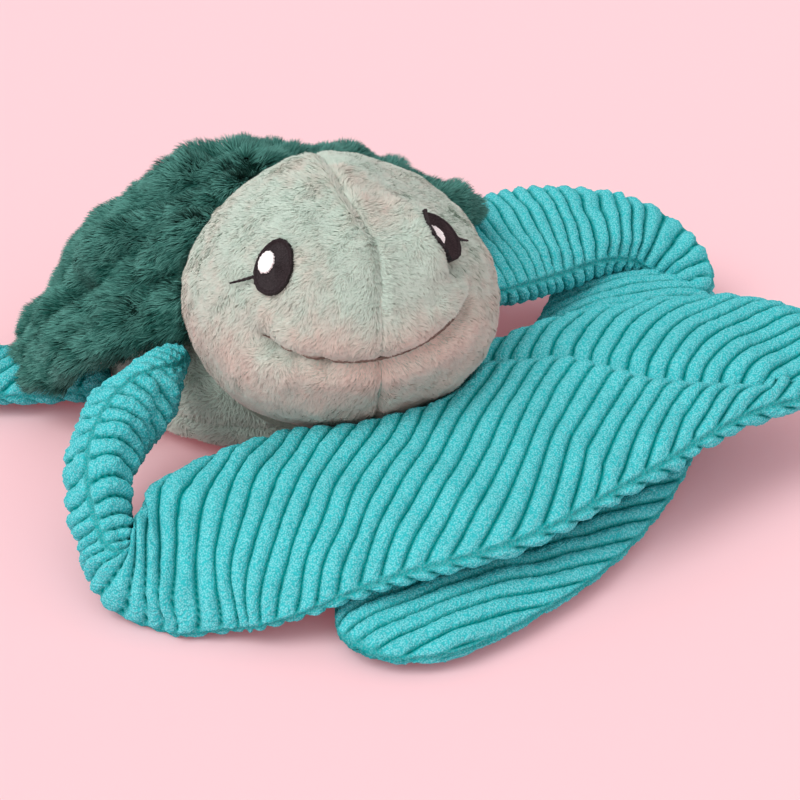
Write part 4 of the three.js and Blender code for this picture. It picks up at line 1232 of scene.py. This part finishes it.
def build_world(settings):
    """Even light all round, and the background's own colour where a ray shows it."""
    world = bpy.data.worlds.new("studio")
    bpy.context.scene.world = world
    world.use_nodes = True
    tree = world.node_tree
    lit = tree.nodes["Background"]
    lit.inputs["Color"].default_value = (1.0, 0.88, 0.9, 1)
    lit.inputs["Strength"].default_value = settings.sky
    seen = node(tree, "ShaderNodeBackground", Color=tuple(settings.background), Strength=1.0)
    rays = tree.nodes.new("ShaderNodeLightPath")
    mix = tree.nodes.new("ShaderNodeMixShader")
    first = tree.nodes.new("ShaderNodeMath")
    shown = tree.nodes.new("ShaderNodeMath")
    first.operation = shown.operation = "MAXIMUM"
    join(
        tree,
        (rays.outputs["Is Camera Ray"], first.inputs[0]),
        (rays.outputs["Is Glossy Ray"], first.inputs[1]),
        (first.outputs["Value"], shown.inputs[0]),
        (rays.outputs["Is Transmission Ray"], shown.inputs[1]),
        (shown.outputs["Value"], mix.inputs["Fac"]),
        (lit.outputs["Background"], mix.inputs[1]),
        (seen.outputs["Background"], mix.inputs[2]),
        (mix.outputs["Shader"], tree.nodes["World Output"].inputs["Surface"]),
    )


def build_lights(settings):
    for name, power, wide, towards in (
        ("key", settings.sun, 38, (-0.62, -0.10, 0.78)),
        ("fill", settings.fill, 110, (-0.64, -0.52, 0.56)),
    ):
        light = bpy.data.lights.new(name, "SUN")
        light.energy = power
        light.angle = math.radians(wide)
        light.color = (0.98, 1.0, 0.99)
        lamp = bpy.data.objects.new(name, light)
        lamp.rotation_mode = "QUATERNION"
        lamp.rotation_quaternion = Vector(towards).to_track_quat("Z", "Y")
        bpy.context.scene.collection.objects.link(lamp)


def build_camera():
    view = bpy.data.cameras.new("camera")
    view.lens, view.sensor_width = 100, 36
    camera = bpy.data.objects.new("camera", view)
    azimuth, elevation = math.radians(CAMERA_AZIMUTH), math.radians(CAMERA_ELEVATION)
    level = math.cos(elevation)
    back = Vector((math.sin(azimuth) * level, -math.cos(azimuth) * level, math.sin(elevation)))
    camera.location = Vector(CAMERA_TARGET) + back * CAMERA_AWAY
    camera.rotation_mode = "QUATERNION"
    camera.rotation_quaternion = (-back).to_track_quat("-Z", "Y")
    bpy.context.scene.collection.objects.link(camera)
    bpy.context.scene.camera = camera
    bpy.context.scene.view_settings.view_transform = "Standard"


def build_stage(settings):
    build_floor(settings)
    build_world(settings)
    build_lights(settings)
    build_camera()


# Tools in the sidebar

class TURTLE_OT_stage(bpy.types.Operator):
    """Makes the floor, the lights and the camera"""
    bl_idname = "turtle.stage"
    bl_label = "Stage"

    def execute(self, context):
        build_stage(context.scene.turtle_stage)
        return {"FINISHED"}


class TURTLE_OT_head(bpy.types.Operator):
    """Makes the head's two panels and their plush"""
    bl_idname = "turtle.head"
    bl_label = "Head"

    def execute(self, context):
        build_head(context.scene.turtle_plush)
        return {"FINISHED"}


class TURTLE_OT_eyes(bpy.types.Operator):
    """Embroiders the eyes, their glints and the lashes"""
    bl_idname = "turtle.eyes"
    bl_label = "Eyes"

    def execute(self, context):
        build_eyes(context.scene.turtle_eyes)
        return {"FINISHED"}


class TURTLE_OT_smile(bpy.types.Operator):
    """Lays the thread of the mouth in its crease"""
    bl_idname = "turtle.smile"
    bl_label = "Mouth"

    def execute(self, context):
        build_smile(context.scene.turtle_eyes)
        return {"FINISHED"}


class TURTLE_OT_body(bpy.types.Operator):
    """Makes the belly, the back and the neck"""
    bl_idname = "turtle.body"
    bl_label = "Body"

    def execute(self, context):
        build_body(context.scene.turtle_plush)
        return {"FINISHED"}


class TURTLE_OT_shell(bpy.types.Operator):
    """Makes the scalloped shell and its long pile"""
    bl_idname = "turtle.shell"
    bl_label = "Shell"

    def execute(self, context):
        build_shell(context.scene.turtle_shell)
        return {"FINISHED"}


class TURTLE_OT_right_front(bpy.types.Operator):
    """Makes the right front flipper, one cover from shoulder to tip"""
    bl_idname = "turtle.right_front"
    bl_label = "Right front flipper"

    def execute(self, context):
        build_right_front(context.scene.turtle_corduroy)
        return {"FINISHED"}


class TURTLE_OT_left_front(bpy.types.Operator):
    """Makes the two lengths of the left front flipper"""
    bl_idname = "turtle.left_front"
    bl_label = "Left front flipper"

    def execute(self, context):
        build_left_front(context.scene.turtle_corduroy)
        return {"FINISHED"}


class TURTLE_OT_rear(bpy.types.Operator):
    """Makes the rear flippers"""
    bl_idname = "turtle.rear"
    bl_label = "Rear flippers"

    def execute(self, context):
        build_rear(context.scene.turtle_corduroy)
        return {"FINISHED"}


OPERATORS = (
    TURTLE_OT_stage, TURTLE_OT_head, TURTLE_OT_eyes, TURTLE_OT_smile, TURTLE_OT_body,
    TURTLE_OT_shell, TURTLE_OT_right_front, TURTLE_OT_left_front, TURTLE_OT_rear,
)
SETTINGS = {
    "turtle_plush": PlushSettings,
    "turtle_shell": ShellSettings,
    "turtle_corduroy": CorduroySettings,
    "turtle_eyes": EyeSettings,
    "turtle_stage": StageSettings,
}


class TURTLE_PT_panel(bpy.types.Panel):
    """Lists the turtle's sizes and colours and the tools that make it"""
    bl_idname = "TURTLE_PT_panel"
    bl_label = "Plush sea turtle"
    bl_space_type = "VIEW_3D"
    bl_region_type = "UI"
    bl_category = "Turtle"

    def draw(self, context):
        for key, group in SETTINGS.items():
            box = self.layout.box()
            for field in group.__annotations__:
                box.prop(getattr(context.scene, key), field)
        for tool in OPERATORS:
            self.layout.operator(tool.bl_idname)


CLASSES = (*SETTINGS.values(), *OPERATORS, TURTLE_PT_panel)


def register():
    for made in CLASSES:
        bpy.utils.register_class(made)
    for key, group in SETTINGS.items():
        setattr(bpy.types.Scene, key, PointerProperty(type=group))


def unregister():
    for key in SETTINGS:
        delattr(bpy.types.Scene, key)
    for made in reversed(CLASSES):
        bpy.utils.unregister_class(made)


def main():
    register()
    bpy.ops.turtle.stage()
    bpy.ops.turtle.head()
    bpy.ops.turtle.eyes()
    bpy.ops.turtle.smile()
    bpy.ops.turtle.body()
    bpy.ops.turtle.shell()
    bpy.ops.turtle.right_front()
    bpy.ops.turtle.left_front()
    bpy.ops.turtle.rear()


if __name__ == "__main__":
    main()
